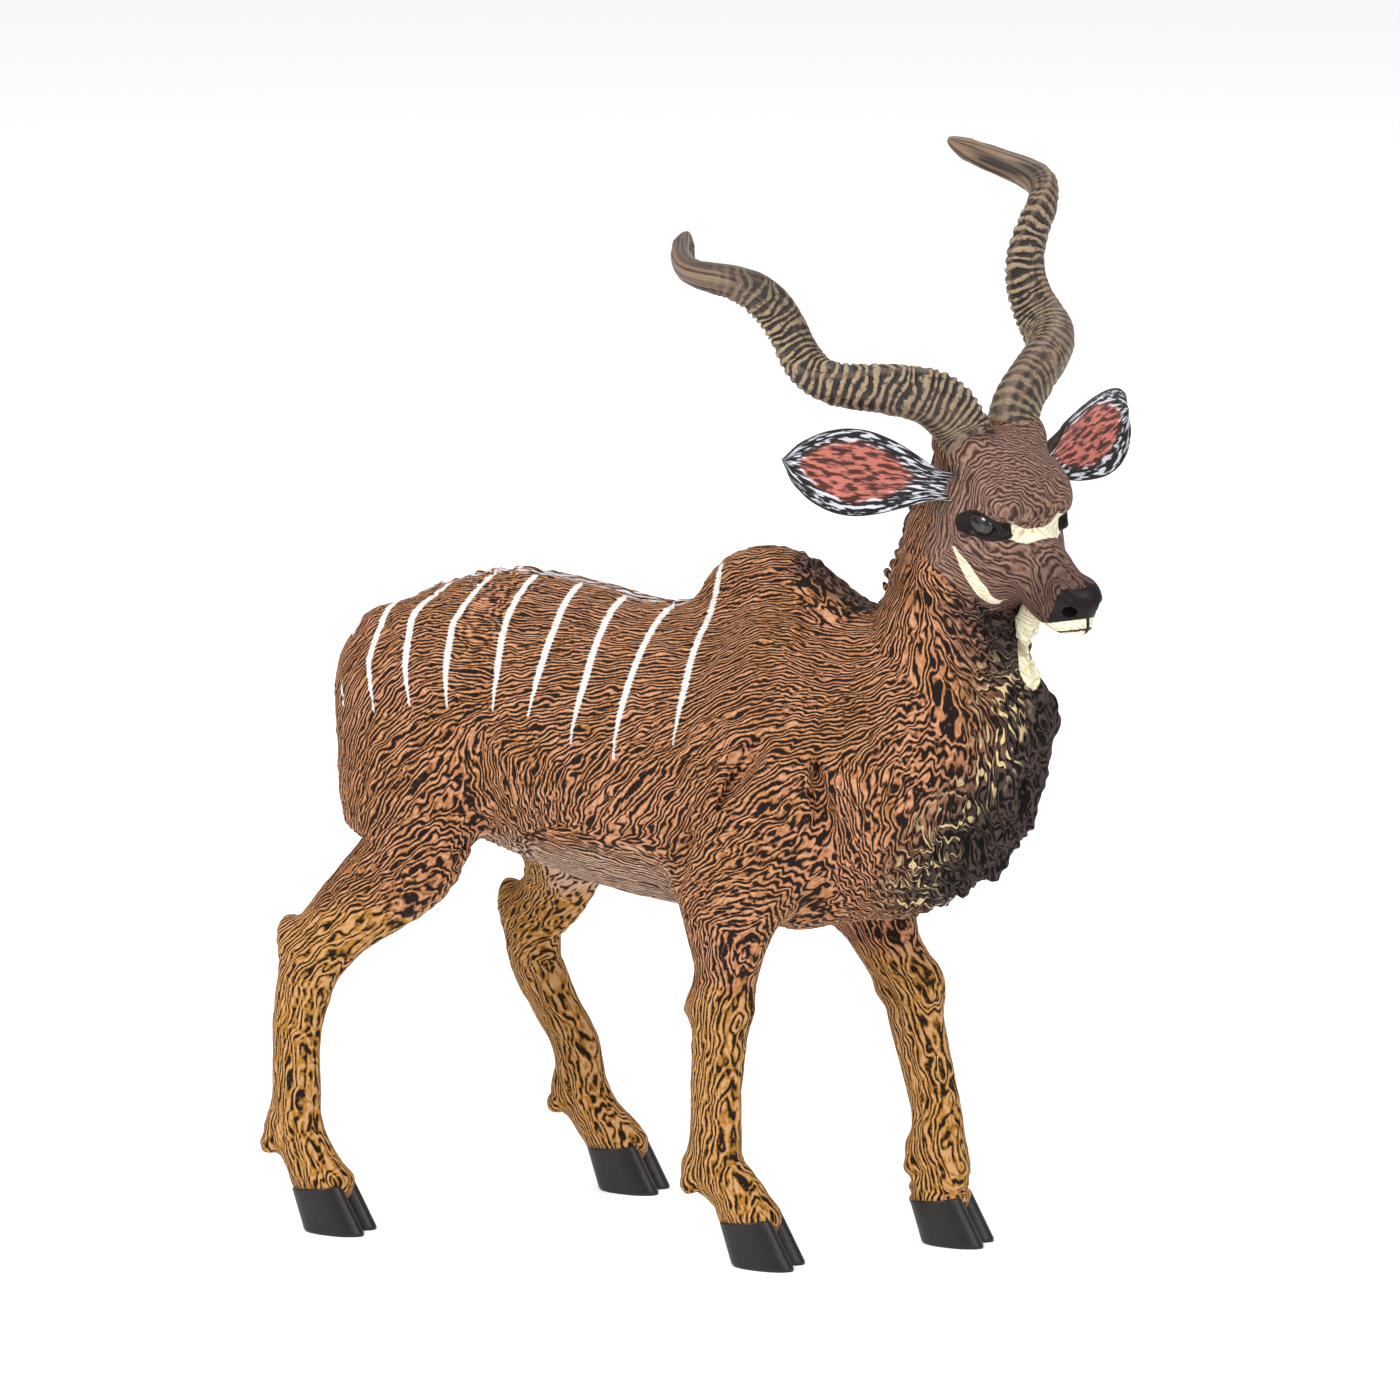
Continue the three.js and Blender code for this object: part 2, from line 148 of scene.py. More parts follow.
def makeSweep(rows, facing=None, count=0):  # rows of x, y, z, half width, height above and depth below
    rows = np.asarray(rows, float)
    length = np.linalg.norm(np.diff(rows[:, :3], axis=0), axis=1).sum()
    fine = smoothRows(rows, count or max(12, int(length / 1.6)))
    spine = fine[:, :3]
    tangent = unit(np.gradient(spine, axis=0)) if facing is None else np.tile(facing, (len(spine), 1))
    side = np.array([0, 1.0, 0]) - tangent[:, 1:2] * tangent
    side = unit(side)
    over = np.cross(tangent, side)
    reach = fine[:, 3:6].max() + 9
    return {"spine": spine, "tangent": tangent, "side": side, "over": over,
            "half": np.maximum(fine[:, 3:6], 0.15), "facing": facing,
            "gap": np.linalg.norm(np.diff(spine, axis=0), axis=1).mean(),
            "low": spine.min(0) - reach, "high": spine.max(0) + reach}


def lumpField(points, lump):  # distance from an egg shape, by the ray from its middle
    away = (points - lump["at"]) @ lump["turn"]
    ratio = np.linalg.norm(away / lump["radii"], axis=1) + 1e-9
    return np.linalg.norm(away, axis=1) * (1 - 1 / ratio)


def makeLump(at, radii, lean=0.0, splay=0.0):  # lean tips its x axis down, splay turns it left
    splayed = Matrix.Rotation(math.radians(splay), 3, "Z")
    turn = np.array(splayed @ Matrix.Rotation(math.radians(lean), 3, "Y"))
    reach = max(radii) + 8
    return {"at": np.array(at, float), "radii": np.array(radii, float), "turn": turn,
            "low": np.array(at) - reach, "high": np.array(at) + reach}


def blendIn(field, other, soft):  # smooth union, rounded over the given width
    share = np.clip(0.5 + 0.5 * (field - other) / soft, 0, 1)
    return field * (1 - share) + other * share - soft * share * (1 - share)


def cutOut(field, other, soft):  # smooth cut, as wide as the smooth union
    return -blendIn(-field, other, soft)


trunk = {"halfWidth": 17, "belly": 51.5, "depth": 43}


def level(share):  # 0 ground, 1 belly, 2 back
    return np.where(share <= 1, share * trunk["belly"], trunk["belly"] + (share - 1) * trunk["depth"])


def trunkRows():  # x, top, bottom, share of the width
    rows = np.array([
        (-55.2, 1.69, 1.50, 0.18), (-54.2, 1.75, 1.34, 0.5), (-51.2, 1.84, 1.24, 0.74),
        (-47, 1.915, 1.19, 0.88), (-38, 2.005, 1.14, 0.95), (-28, 2.035, 1.06, 0.98),
        (-18, 2.01, 1.0, 1.01), (-10, 1.975, 0.972, 1.01), (-3, 1.965, 0.957, 1.0),
        (4, 1.975, 0.94, 0.98), (10, 1.99, 0.925, 0.96), (15, 1.99, 0.915, 0.92), (20, 1.97, 0.94, 0.88),
        (25, 1.93, 0.96, 0.8), (32, 1.86, 0.99, 0.7), (37, 1.7, 1.1, 0.48), (40, 1.57, 1.29, 0.18)])
    top, bottom = level(rows[:, 1]), level(rows[:, 2])
    deep = (top - bottom) / 2
    return np.stack([rows[:, 0], 0 * deep, bottom + deep, trunk["halfWidth"] * rows[:, 3], deep, deep], 1)


head = {"at": (44, -1, 119.2), "turn": -25, "nod": 45.6, "eye": (9.9, 7.4, -3.7), "eyeTilt": 34}
turn, nod = math.radians(head["turn"]), math.radians(head["nod"])
faceAxes = np.array(Matrix.Rotation(turn, 3, "Z") @ Matrix.Rotation(nod, 3, "Y"))
levelAxes = np.array(Matrix.Rotation(turn, 3, "Z"))


def toFace(points):  # x along the face to the nose, y left, z out of the forehead
    return (points - np.array(head["at"])) @ faceAxes


def fromFace(points):  # the way back from the face's own frame
    return np.asarray(points) @ faceAxes.T + np.array(head["at"])


def fromLevel(points):  # the head's frame before it is nodded
    return np.asarray(points) @ levelAxes.T + np.array(head["at"])


neckRows = [
    (22, 0, 68.7, 11.7, 14, 14), (28, 0, 78.2, 11.3, 12, 14), (33, 0, 88, 9.6, 8.6, 12.5),
    (37, -0.5, 99.4, 8.5, 8.2, 9.6), (41, -1, 109.3, 7.8, 8.2, 6.4), (43.4, -1.5, 114.2, 6.2, 6, 4)]
maneRows = [
    (44, -2.3, 95.5, 3.2, 2.4, 5), (45.2, -1.5, 89, 4.2, 2.8, 9), (46.9, -0.5, 81.6, 4.8, 4.0, 15),
    (46.6, 0, 73, 5.2, 4.2, 18), (43.6, 0, 64.4, 5, 3.8, 18), (39, 0, 58.8, 4, 3, 12),
    (36, 0, 56.6, 2.6, 2.2, 7)]
faceRows = [
    (-4.5, 0, -8, 3, 3, 4), (-1, 0, -6, 7.1, 6, 6.5), (4.4, 0, -4.8, 8.4, 7.2, 7.4),
    (8, 0, -4.8, 8.4, 6.6, 7.6), (12, 0, -5.4, 7.4, 5.0, 7.0), (16, 0, -5.6, 5.8, 3.7, 5.6),
    (20, 0, -5.2, 4.5, 3.3, 4.4), (24, 0, -4.5, 3.9, 3.1, 3.4), (26.6, 0, -4.0, 3.6, 2.9, 2.9),
    (28.2, 0, -3.8, 2.9, 2.3, 2.4), (29, 0, -3.7, 1.6, 1.2, 1.3)]

forelegs = {
    "left": {"sign": 1, "toe": 34.2, "fetlock": 31.4, "knee": 26.9, "elbow": 17.5, "shoulder": 13.5},
    "right": {"sign": -1, "toe": 14, "fetlock": 6, "knee": 6.8, "elbow": 8.8, "shoulder": 12.5}}
hindlegs = {
    "left": {"sign": 1, "toe": -21, "fetlock": -29.5, "hock": -36.9, "stifle": -30,
             "shin": 2.1, "sway": -0.9},
    "right": {"sign": -1, "toe": -50.6, "fetlock": -57.6, "hock": -55.4, "stifle": -40,
              "shin": -0.6, "sway": 0}}
legs = {"foreTrack": 11.25, "hindTrack": 19.25, "wide": 2.75, "deep": 3.45}


def forelegRows(leg):  # from the sole up to the shoulder; heights are shares of belly and back
    out, wide, deep = leg["sign"] * legs["foreTrack"], legs["wide"], legs["deep"]
    outTop = leg["sign"] * 12.2
    toe, fetlock, knee, elbow, shoulder = (leg[k] for k in ("toe", "fetlock", "knee", "elbow", "shoulder"))
    bone = lambda share: fetlock + (knee - fetlock) * share
    rows = [
        (toe - 2.2, 0.11, 3.7, 4.3, 4.4), (toe - 3.6, 0.145, 3.5, 4.2, 4.3),
        ((toe + fetlock) / 2 - 0.8, 0.19, wide * 1.14, deep * 1.16, deep * 1.12),
        (fetlock, 0.27, wide * 1.2, deep * 1.26, deep * 1.1),
        (bone(0.1), 0.37, wide, deep * 1.2, deep * 1.02),
        (bone(0.4), 0.5, wide * 0.97, deep * 1.28, deep * 0.98),
        (bone(0.8), 0.63, wide * 1.08, deep * 1.3, deep * 1.1),
        (knee, 0.73, wide * 1.24, deep * 1.42, deep * 1.24),
        ((knee * 2 + elbow) / 3, 0.82, wide * 1.3, deep * 1.42, deep * 1.34),
        ((knee + elbow * 2) / 3, 0.93, wide * 1.6, deep * 1.9, deep * 1.75),
        (elbow, 1.03, wide * 1.9, deep * 2.5, deep * 2.2), ((elbow + shoulder) / 2, 1.25, 5.8, 10, 9.3),
        (shoulder, 1.52, 5.8, 10.2, 9.3), (shoulder + 1, 1.76, 4.9, 8, 7), (shoulder + 1, 1.92, 2.8, 4.5, 4)]
    across = [out] * 9 + [outTop] * 4 + [outTop - leg["sign"] * 1.8, outTop - leg["sign"] * 4]
    return [(x, y, float(level(np.array(z))), a, b, c) for (x, z, a, b, c), y in zip(rows, across)]


def hindlegRows(leg):  # from the sole up to the haunch
    out, wide, deep = leg["sign"] * legs["hindTrack"], legs["wide"], legs["deep"]
    outTop = leg["sign"] * 11.2
    toe, fetlock, hock, stifle = (leg[k] for k in ("toe", "fetlock", "hock", "stifle"))
    bone = lambda share: fetlock + (hock - fetlock) * share
    shin = lambda share: hock + (stifle - hock) * share + leg["shin"] * (share < 0.9)
    mix = lambda share: out + (outTop - out) * share
    rows = [
        (toe - 2, out, 0.11, 3.7, 4.3, 4.4), (toe - 3.4, out, 0.145, 3.5, 4.2, 4.3),
        ((toe + fetlock * 2) / 3, out, 0.2, wide * 1.14, deep * 1.2, deep * 1.06),
        (fetlock, out, 0.29, wide * 1.16, deep * 1.16, deep * 1.14),
        (bone(0.1), out, 0.4, wide, deep * 1.12, deep * 1.0),
        (bone(0.4) - 0.5 + leg["sway"], mix(0.05), 0.55, wide * 0.98, deep * 1.22, deep * 0.94),
        (bone(0.75) - 0.6 + leg["sway"], mix(0.12), 0.67, wide * 1.04, deep * 1.32, deep * 1.12),
        (hock, mix(0.18), 0.78, wide * 1.2, deep * 1.3, deep * 1.5),
        (shin(0.28), mix(0.3), 0.87, wide * 1.34, deep * 1.6, deep * 1.5),
        (shin(0.6), mix(0.48), 0.96, wide * 1.6, deep * 1.95, deep * 1.8),
        (shin(0.95), mix(0.66), 1.09, wide * 2.05, deep * 2.6, deep * 2.1),
        (stifle - 1.5, mix(0.86), 1.28, 7, 11.4, 10.6), (stifle - 2.5, outTop, 1.5, 7, 11.4, 11.4),
        (stifle - 4, outTop - leg["sign"], 1.7, 6, 10.6, 10.6),
        (stifle - 4.5, outTop - 2.6 * leg["sign"], 1.86, 3.6, 7, 7)]
    return [(x, y, float(level(np.array(z))), a, b, c) for x, y, z, a, b, c in rows]


tailRows = [
    (-50, -0.2, 88.4, 2, 2, 2), (-54, -0.6, 87.4, 2.1, 2, 2), (-56.6, -1.2, 84, 2, 1.9, 1.9),
    (-58.2, -2.2, 77, 1.7, 1.6, 1.6), (-58.2, -3.2, 69.6, 1.9, 1.7, 1.7), (-57.6, -4.2, 63.4, 2.1, 1.9, 1.9),
    (-57, -4.8, 58.6, 1, 0.9, 0.9), (-56.8, -5, 57.2, 0.4, 0.4, 0.4)]

forwards = np.array([1.0, 0, 0])
legNames = ("foreleg_left", "foreleg_right", "hindleg_left", "hindleg_right")
parts = {"trunk": makeSweep(trunkRows(), forwards, 90), "neck": makeSweep(neckRows),
         "mane": makeSweep(maneRows), "tail": makeSweep(tailRows)}
for name, leg in forelegs.items():
    parts["foreleg_" + name] = makeSweep(forelegRows(leg))
for name, leg in hindlegs.items():
    parts["hindleg_" + name] = makeSweep(hindlegRows(leg))
face = makeSweep(faceRows)


def mirrored(make, at, *sizes, **turns):  # a lump on each side
    x, y, z = at
    other = {key: -value if key == "splay" else value for key, value in turns.items()}
    return [make((x, y, z), *sizes, **turns), make((x, -y, z), *sizes, **other)]


bodyLumps = [  # lump, softness of its join
    (makeLump((9.6, 0, 92.2), (11.4, 5.5, 10.2)), 4),                 # hump over the withers
    (makeLump((18, 0, 88), (10, 6, 8), lean=28), 5)]
for lump in mirrored(makeLump, (-47, 8, 83), (6, 3.6, 4.4), lean=-20):    # hip bones
    bodyLumps.append((lump, 5))
for lump in mirrored(makeLump, (33, 6.5, 72), (7, 6, 13), lean=-12):  # breast
    bodyLumps.append((lump, 5))
for name, leg in forelegs.items():
    side = leg["sign"] * legs["foreTrack"]
    bodyLumps += [
        (makeLump((leg["knee"] + 2, side, 37.4), (2.4, 2.8, 3.6)), 1.6),
        (makeLump((leg["knee"] - 3.6, side, 37), (2, 2.2, 2.2)), 1.6),
        (makeLump((leg["fetlock"] - 3.0, side, 13), (2.3, 2.7, 3)), 1.6),
        (makeLump((leg["fetlock"] - 3.7, side - 1.9, 11.2), (1.3, 1.2, 1.6)), 0.7),
        (makeLump((leg["fetlock"] - 3.7, side + 1.9, 11.2), (1.3, 1.2, 1.6)), 0.7)]
for name, leg in hindlegs.items():
    side = leg["sign"] * legs["hindTrack"]
    hockY = leg["sign"] * 17.8
    bodyLumps += [
        (makeLump((leg["hock"] - 3.6, hockY, 42.4), (1.9, 2, 3.6), lean=-8), 2.4),
        (makeLump((leg["fetlock"] - 2.5, side, 14), (2.4, 2.7, 3.2)), 1.6),
        (makeLump((leg["fetlock"] - 3.6, side - 1.9, 12.4), (1.3, 1.2, 1.6)), 0.7),
        (makeLump((leg["fetlock"] - 3.6, side + 1.9, 12.4), (1.3, 1.2, 1.6)), 0.7)]

faceLumps = []
for at, radii, soft, turns in [
        ((8.2, 5.6, 0.2), (4.4, 2.4, 2.0), 2, {"splay": -12}),          # brows
        ((12.4, 4.9, -8.8), (6.2, 3.0, 4.0), 3, {"lean": 8}),           # cheeks
        ((25.2, 2.5, -1.8), (2.9, 1.6, 1.7), 1.2, {"splay": -10}),      # nose wings
        ((25.8, 2.2, -5.0), (2.6, 2.0, 1.5), 1.0, {}),                  # upper lips
        ((-1.4, 5.0, -0.6), (4.8, 4.4, 4.0), 2, {})]:                   # horn bases
    for lump in mirrored(makeLump, at, radii, **turns):
        faceLumps.append((lump, soft))
faceLumps += [
    (makeLump((5, 0, 0), (7, 6.4, 3.2)), 3),                            # forehead
    (makeLump((19.4, 0, -2.6), (7.4, 2.9, 2.3), lean=-2), 2),             # bridge of the nose
    (makeLump((26.8, 0, -2.6), (1.9, 2.5, 2.2)), 1.0),                  # nose pad
    (makeLump((22.8, 0, -7.6), (5.2, 2.5, 1.6), lean=-14), 1.4)]        # lower jaw
faceCuts = [(makeLump((26.6, 0, -6.1), (3.8, 6, 0.3), lean=-12), 0.4)]  # mouth
for lump in mirrored(makeLump, (27.0, 2.4, -2.0), (2.0, 1.0, 0.95), splay=24, lean=14):  # nostrils
    faceCuts.append((lump, 0.5))
eyeX, eyeY, eyeZ = head["eye"]
for lump in mirrored(makeLump, (eyeX, eyeY + 1.4, eyeZ), (3.3, 1.5, 1.9), splay=-14, lean=head["eyeTilt"]):
    faceCuts.append((lump, 0.9))  # eye sockets


def onEye(along, up, out, sign):  # a spot in the head's frame from its place along, above and out of an eye
    tilt = math.radians(head["eyeTilt"])
    ahead = along * math.cos(tilt) - up * math.sin(tilt)
    above = along * math.sin(tilt) + up * math.cos(tilt)
    return eyeX + ahead, sign * (eyeY + out - 0.3 - 0.09 * along - 0.16 * max(ahead, 0)), eyeZ + above


eyeLids = []
upperLid = [(-3.3, -0.5, -0.1), (-2.0, 1.2, 0.3), (-0.2, 1.9, 0.4), (1.8, 1.2, 0.1), (3.8, -0.5, -0.5)]
lowerLid = [(-3.3, -0.5, -0.1), (-1.8, -1.6, 0.4), (0.1, -1.9, 0.5), (1.9, -1.4, 0.2), (3.8, -0.5, -0.5)]
for sign in (1, -1):
    for lid, thick in ((upperLid, 0.55), (lowerLid, 0.4)):
        eyeLids.append(makeSweep([(*onEye(*spot, sign), thick, thick, thick) for spot in lid], count=16))

beardLumps = [makeLump((49.6, -2.4, 94.8), (1.6, 1.5, 3.0)),
              makeLump((48.9, -1.8, 88.2), (1.4, 1.2, 4.6), lean=-10)]
maneLumps = [makeLump((48.2, 0, 80), (4.0, 4.6, 7)), makeLump((46, 0, 67.6), (3.6, 4.6, 4.4)),
             makeLump((41.4, 0, 60.6), (3.8, 4.2, 3.6)), makeLump((36.6, 0, 57.2), (3.6, 3.6, 2.6))]
napeLumps = [makeLump((27.6 + 0.6 * tuft, -0.08 * tuft, 97.4 + 1.65 * tuft), (1.3, 0.5, 0.8), lean=34)
             for tuft in range(9)]
creases = []  # folds pressed into the sides
for at, radii, lean in [((-29, 18.4, 70), (1.1, 1.6, 9), 4), ((-26, 17, 60), (1.2, 1.6, 5), -24),
                        ((1.5, 16.8, 57), (1.1, 1.6, 7), 26), ((24, 14.5, 66), (1.2, 1.4, 9), -12),
                        ((13, 17.5, 74), (1.0, 1.0, 8), 32)]:
    creases += mirrored(makeLump, at, radii, lean=lean)


def near(points, part):  # which points a part can reach
    return np.all((points > part["low"]) & (points < part["high"]), axis=1)


def bodyField(points):  # the whole animal as one smooth solid, in millimetres
    field = np.full(len(points), 30.0)

    def take(part, kind, soft, cut=False, where=None):
        spots = points if where is None else where
        mask = near(spots, part)
        if mask.any():
            value = kind(spots[mask], part)
            field[mask] = cutOut(field[mask], value, soft) if cut else blendIn(field[mask], value, soft)

    take(parts["trunk"], sweepField, 1)
    take(parts["neck"], sweepField, 7)
    take(parts["mane"], sweepField, 6)
    for name in legNames:
        take(parts[name], sweepField, 4.5)
    for lump, soft in bodyLumps:
        take(lump, lumpField, soft)
    for lump in creases:
        take(lump, lumpField, 2.6, True)
    for lump in maneLumps:
        take(lump, lumpField, 1.6)
    for lump in napeLumps:
        take(lump, lumpField, 0.6)
    spots = toFace(points)
    take(face, sweepField, 4, where=spots)
    for lump, soft in faceLumps:
        take(lump, lumpField, soft, where=spots)
    for lump, soft in faceCuts:
        take(lump, lumpField, soft, True, spots)
    for lid in eyeLids:
        take(lid, sweepField, 0.5, where=spots)
    for lump in beardLumps:
        take(lump, lumpField, 0.8)
    return field


box = {"low": (-66, -27, 1.5), "high": (66, 24, 130)}


def gridField(low, high, step):  # coarse samples first, then true ones close to the skin
    counts = np.ceil((np.array(high) - np.array(low)) / step / 5).astype(int) * 5 + 1
    axes = [low[k] + step * np.arange(counts[k]) for k in range(3)]
    rough = [axis[::5] for axis in axes]
    points = np.stack(np.meshgrid(*rough, indexing="ij"), -1)
    values = bodyField(points.reshape(-1, 3)).reshape(points.shape[:3]).astype(np.float32)
    for k in range(3):
        spot = np.arange(counts[k]) / 5
        base = np.minimum(spot.astype(int), len(rough[k]) - 2)
        share = (spot - base).astype(np.float32).reshape([-1 if j == k else 1 for j in range(3)])
        values = np.take(values, base, k) * (1 - share) + np.take(values, base + 1, k) * share
    close = np.argwhere(np.abs(values) < 2.2)
    places = np.stack([axes[k][close[:, k]] for k in range(3)], 1)
    found = np.concatenate([bodyField(chunk) for chunk in np.array_split(places, 24)])
    values[tuple(close.T)] = found
    return values


def sampleField(values, low, step, points):  # the stored field between its samples
    spot = (points - low) / step
    base = np.clip(spot.astype(np.int64), 0, np.array(values.shape) - 2)
    share = spot - base
    flat = values.ravel()
    strides = np.array([values.shape[1] * values.shape[2], values.shape[2], 1])
    start = base @ strides
    total = 0
    for corner in range(8):
        offset = np.array([corner & 1, corner >> 1 & 1, corner >> 2])
        weight = np.prod(np.where(offset == 1, share, 1 - share), axis=1)
        total = total + weight * flat[start + offset @ strides]
    return total


def skin(values, low, step):  # one vertex in each cell the skin crosses, one face on each crossed edge
    inside = values < 0
    counts = np.array(values.shape) - 1
    corners = sum(inside[i:i + counts[0], j:j + counts[1], k:k + counts[2]].astype(np.int8)
                  for i in (0, 1) for j in (0, 1) for k in (0, 1))
    cells = np.argwhere((corners > 0) & (corners < 8))
    number = np.full(counts, -1, np.int32)
    number[tuple(cells.T)] = np.arange(len(cells))
    total = np.zeros((len(cells), 3))
    hits = np.zeros((len(cells), 1))
    for axis in range(3):
        for first in (0, 1):
            for second in (0, 1):
                start = np.zeros(3, int)
                start[(axis + 1) % 3], start[(axis + 2) % 3] = first, second
                end = start.copy()
                end[axis] = 1
                here = values[tuple((cells + start).T)]
                there = values[tuple((cells + end).T)]
                crossed = (here < 0) != (there < 0)
                share = np.where(crossed, here / np.where(crossed, here - there, 1), 0)[:, None]
                total += (start + (end - start) * share) * crossed[:, None]
                hits += crossed[:, None]
    points = np.array(low) + step * (cells + total / hits)
    faces = []
    for axis in range(3):
        one, two = (axis + 1) % 3, (axis + 2) % 3
        body = np.moveaxis(inside, (axis, one, two), (0, 1, 2))
        index = np.moveaxis(number, (axis, one, two), (0, 1, 2))
        crossed = body[:-1, 1:-1, 1:-1] != body[1:, 1:-1, 1:-1]
        i, j, k = np.nonzero(crossed)
        quad = np.stack([index[i, j, k], index[i, j + 1, k], index[i, j + 1, k + 1], index[i, j, k + 1]], 1)
        outward = body[i, j + 1, k + 1]
        faces.append(np.where(outward[:, None], quad, quad[:, ::-1]))
    return points, np.concatenate(faces)


def relax(points, faces, rounds):  # each vertex goes half way to the middle of its neighbours
    pairs = np.concatenate([faces, np.roll(faces, -1, 1)], 1).reshape(-1, 2, faces.shape[1])
    pairs = pairs.transpose(0, 2, 1).reshape(-1, 2)
    for _ in range(rounds):
        total = np.zeros_like(points)
        for k in range(3):
            total[:, k] = np.bincount(pairs[:, 0], points[pairs[:, 1], k], len(points))
        count = np.bincount(pairs[:, 0], minlength=len(points))[:, None]
        points = points * 0.5 + 0.5 * total / np.maximum(count, 1)
    return points


def cornerNormals(points, faces):  # vertex normals from the faces round each vertex
    across = np.cross(points[faces[:, 2]] - points[faces[:, 0]], points[faces[:, 3]] - points[faces[:, 1]])
    total = np.zeros_like(points)
    for corner in range(4):
        for k in range(3):
            total[:, k] += np.bincount(faces[:, corner], across[:, k], len(points))
    return unit(total)


low = np.array(box["low"], float)
step = modeller["grid"]
values = gridField(low, np.array(box["high"], float), step)
print("field sampled", values.shape)
points, faces = skin(values, low, step)
points = relax(points, faces, 2)


def slope(spots):  # the field's own direction, outwards
    reach = 0.5
    return unit(np.stack([sampleField(values, low, step, spots + reach * axis)
                          - sampleField(values, low, step, spots - reach * axis) for axis in np.eye(3)], 1))


normals = slope(points)
points = points - normals * sampleField(values, low, step, points)[:, None] * 0.8
print("skin", len(points), "vertices")

combing = [  # x, z and the slope of the hairs there in degrees, from forwards towards up
    (-30, 95, -8), (-32, 89, -5), (-44, 89, 50), (-47, 81, 62), (-41, 72, 47), (-48, 67, 68), (-37, 65, 58),
    (-28, 68, 88), (-22, 77, 20), (-15, 81, 17), (-16, 88, 10), (-15, 94, -4), (-4, 85, 15), (-4, 75, 38),
    (-8, 67, 50), (-19, 67, 68), (-1, 68, 45), (-17, 57, -14), (-6, 56, -14), (-43, 51, 36), (-36, 59, 42),
    (8, 97, 20), (20, 97, -45), (16, 92, 8), (24, 90, 0), (26, 83, 20), (10, 86, 30), (8, 75, 38),
    (21, 79, 28), (31, 85, 45), (35, 93, 85), (31, 97, 62), (37, 88, 90), (42, 90, -60), (46, 88, -45),
    (40, 98, -55),
    (45, 97, -20), (35, 78, 65), (40, 80, 87), (44, 78, -80), (26, 69, 100), (21, 69, 50), (12, 65, 40),
    (35, 71, 67), (41, 71, 75), (28, 58, 88), (32, 60, 70), (20, 56, 30), (11, 55, 22), (40, 62, 88),
    (43, 65, -75), (41, 56, 90), (49, 72, 95), (7, 44, 72), (5, 27, 78), (4, 16, 90), (10, 9, 112),
    (-51, 43, 42), (-55, 29, 83), (-57, 17, 95), (-53, 9, 115), (-34, 41, 38), (-32, 28, 115), (-27, 17, 108),
    (-23, 10, 118), (23, 43, -55), (29, 28, 105), (29, 18, 92), (31, 10, 110), (36, 107, 65), (40, 112, 80),
    (45, 117, 75), (50, 115, 60), (46, 106, -25), (51, 103, -25), (43, 102, -15),
    (55, 103, -60), (58, 104, -50)]
bank = {"count": 12, "edge": math.cos(2 * math.pi / 12)}


def lieAt(points):  # cosine and sine of twice the slope, from the anchors near the point
    anchors = np.array(combing, float)
    total = np.zeros((len(points), 2))
    for x, z, slant in anchors:
        weight = 1 / ((points[:, 0] - x) ** 2 + (points[:, 2] - z) ** 2 + 7) ** 2.2
        double = math.radians(2 * slant)
        total += weight[:, None] * (math.cos(double), math.sin(double))
    return unit(total)


def hairs(points, lie, along, across):  # streaks: specks drawn out along the nearest set directions
    total = np.zeros(len(points))
    power = np.full(len(points), 1e-6)
    for k in range(bank["count"]):
        slant = math.pi * k / bank["count"]
        share = lie @ (math.cos(2 * slant), math.sin(2 * slant))
        share = np.clip((share - bank["edge"]) / (1 - bank["edge"]), 0, 1)
        use = share > 0
        x, y, z = points[use].T
        spun = np.stack([(x * math.cos(slant) + z * math.sin(slant)) / along,
                         (z * math.cos(slant) - x * math.sin(slant)) / across, y / across], 1)
        total[use] += share[use] * speckle(spun + 7.3 * k, 1.0)
        power += share**2
    return total / np.sqrt(power)


stripes = [  # x of each white stripe at four heights, rear to front
    (96, -45.2, -39.8, -33.4, -26.8, -19.8, -12.7, -4.8, 2.4),
    (90, -46.4, -41.8, -35.4, -27.2, -19.6, -12.8, -5.7, 1.9),
    (84, -47.2, -41, -34.8, -26.8, -20.3, -13.1, -6.5, 2.0),
    (76, -44.8, -38.8, -33.6, -26.9, -21.5, -14.3, -7.6, 1.4)]
stripeEnds = {"top": 96.5, "bottom": (77, 78.4, 78.4, 78.5, 78.2, 74.8, 73, 75.7)}
maneEdge = [(56, 33.5), (60, 36), (65, 39), (70, 42.5), (75, 46), (80, 47), (85, 46.5), (90, 45.5), (96, 43)]


def stripeCoordinate(points):  # whole numbers on the stripes' middles, and half their width in those units
    table = np.array(stripes, float)[::-1]
    x, z = points[:, 0], points[:, 2]
    middles = np.stack([np.interp(z, table[:, 0], table[:, k]) for k in range(1, table.shape[1])], 1)
    count = middles.shape[1]
    below = (middles < x[:, None]).sum(1)
    first = np.clip(below - 1, 0, count - 2)
    rows = np.arange(len(points))
    gap = middles[rows, first + 1] - middles[rows, first]
    number = first + 1 + (x - middles[rows, first]) / gap
    nearest = np.clip(np.rint(number), 1, count).astype(int) - 1
    bottom = np.array(stripeEnds["bottom"])[nearest]
    share = np.clip((z - bottom) / (stripeEnds["top"] - bottom), -0.3, 1)
    half = np.where(share < 0, share * 3, 0.2 + 0.36 * ramp(share, 0, 0.4)) / gap
    half = half * (z > 70) * (points[:, 0] < 8) * (points[:, 0] > -52)
    return number, half


def strokeDistance(spots, rows, axes):  # distance to a painted stroke, less its half width there
    rows = np.array(rows, float)
    best = np.full(len(spots), 9.0)
    for start, end in zip(rows[:-1], rows[1:]):
        line = end[:2] - start[:2]
        share = np.clip(((spots[:, axes] - start[:2]) @ line) / (line @ line), 0, 1)
        away = np.linalg.norm(spots[:, axes] - (start[:2] + share[:, None] * line), axis=1)
        best = np.minimum(best, away - (start[2] + share * (end[2] - start[2])))
    return best


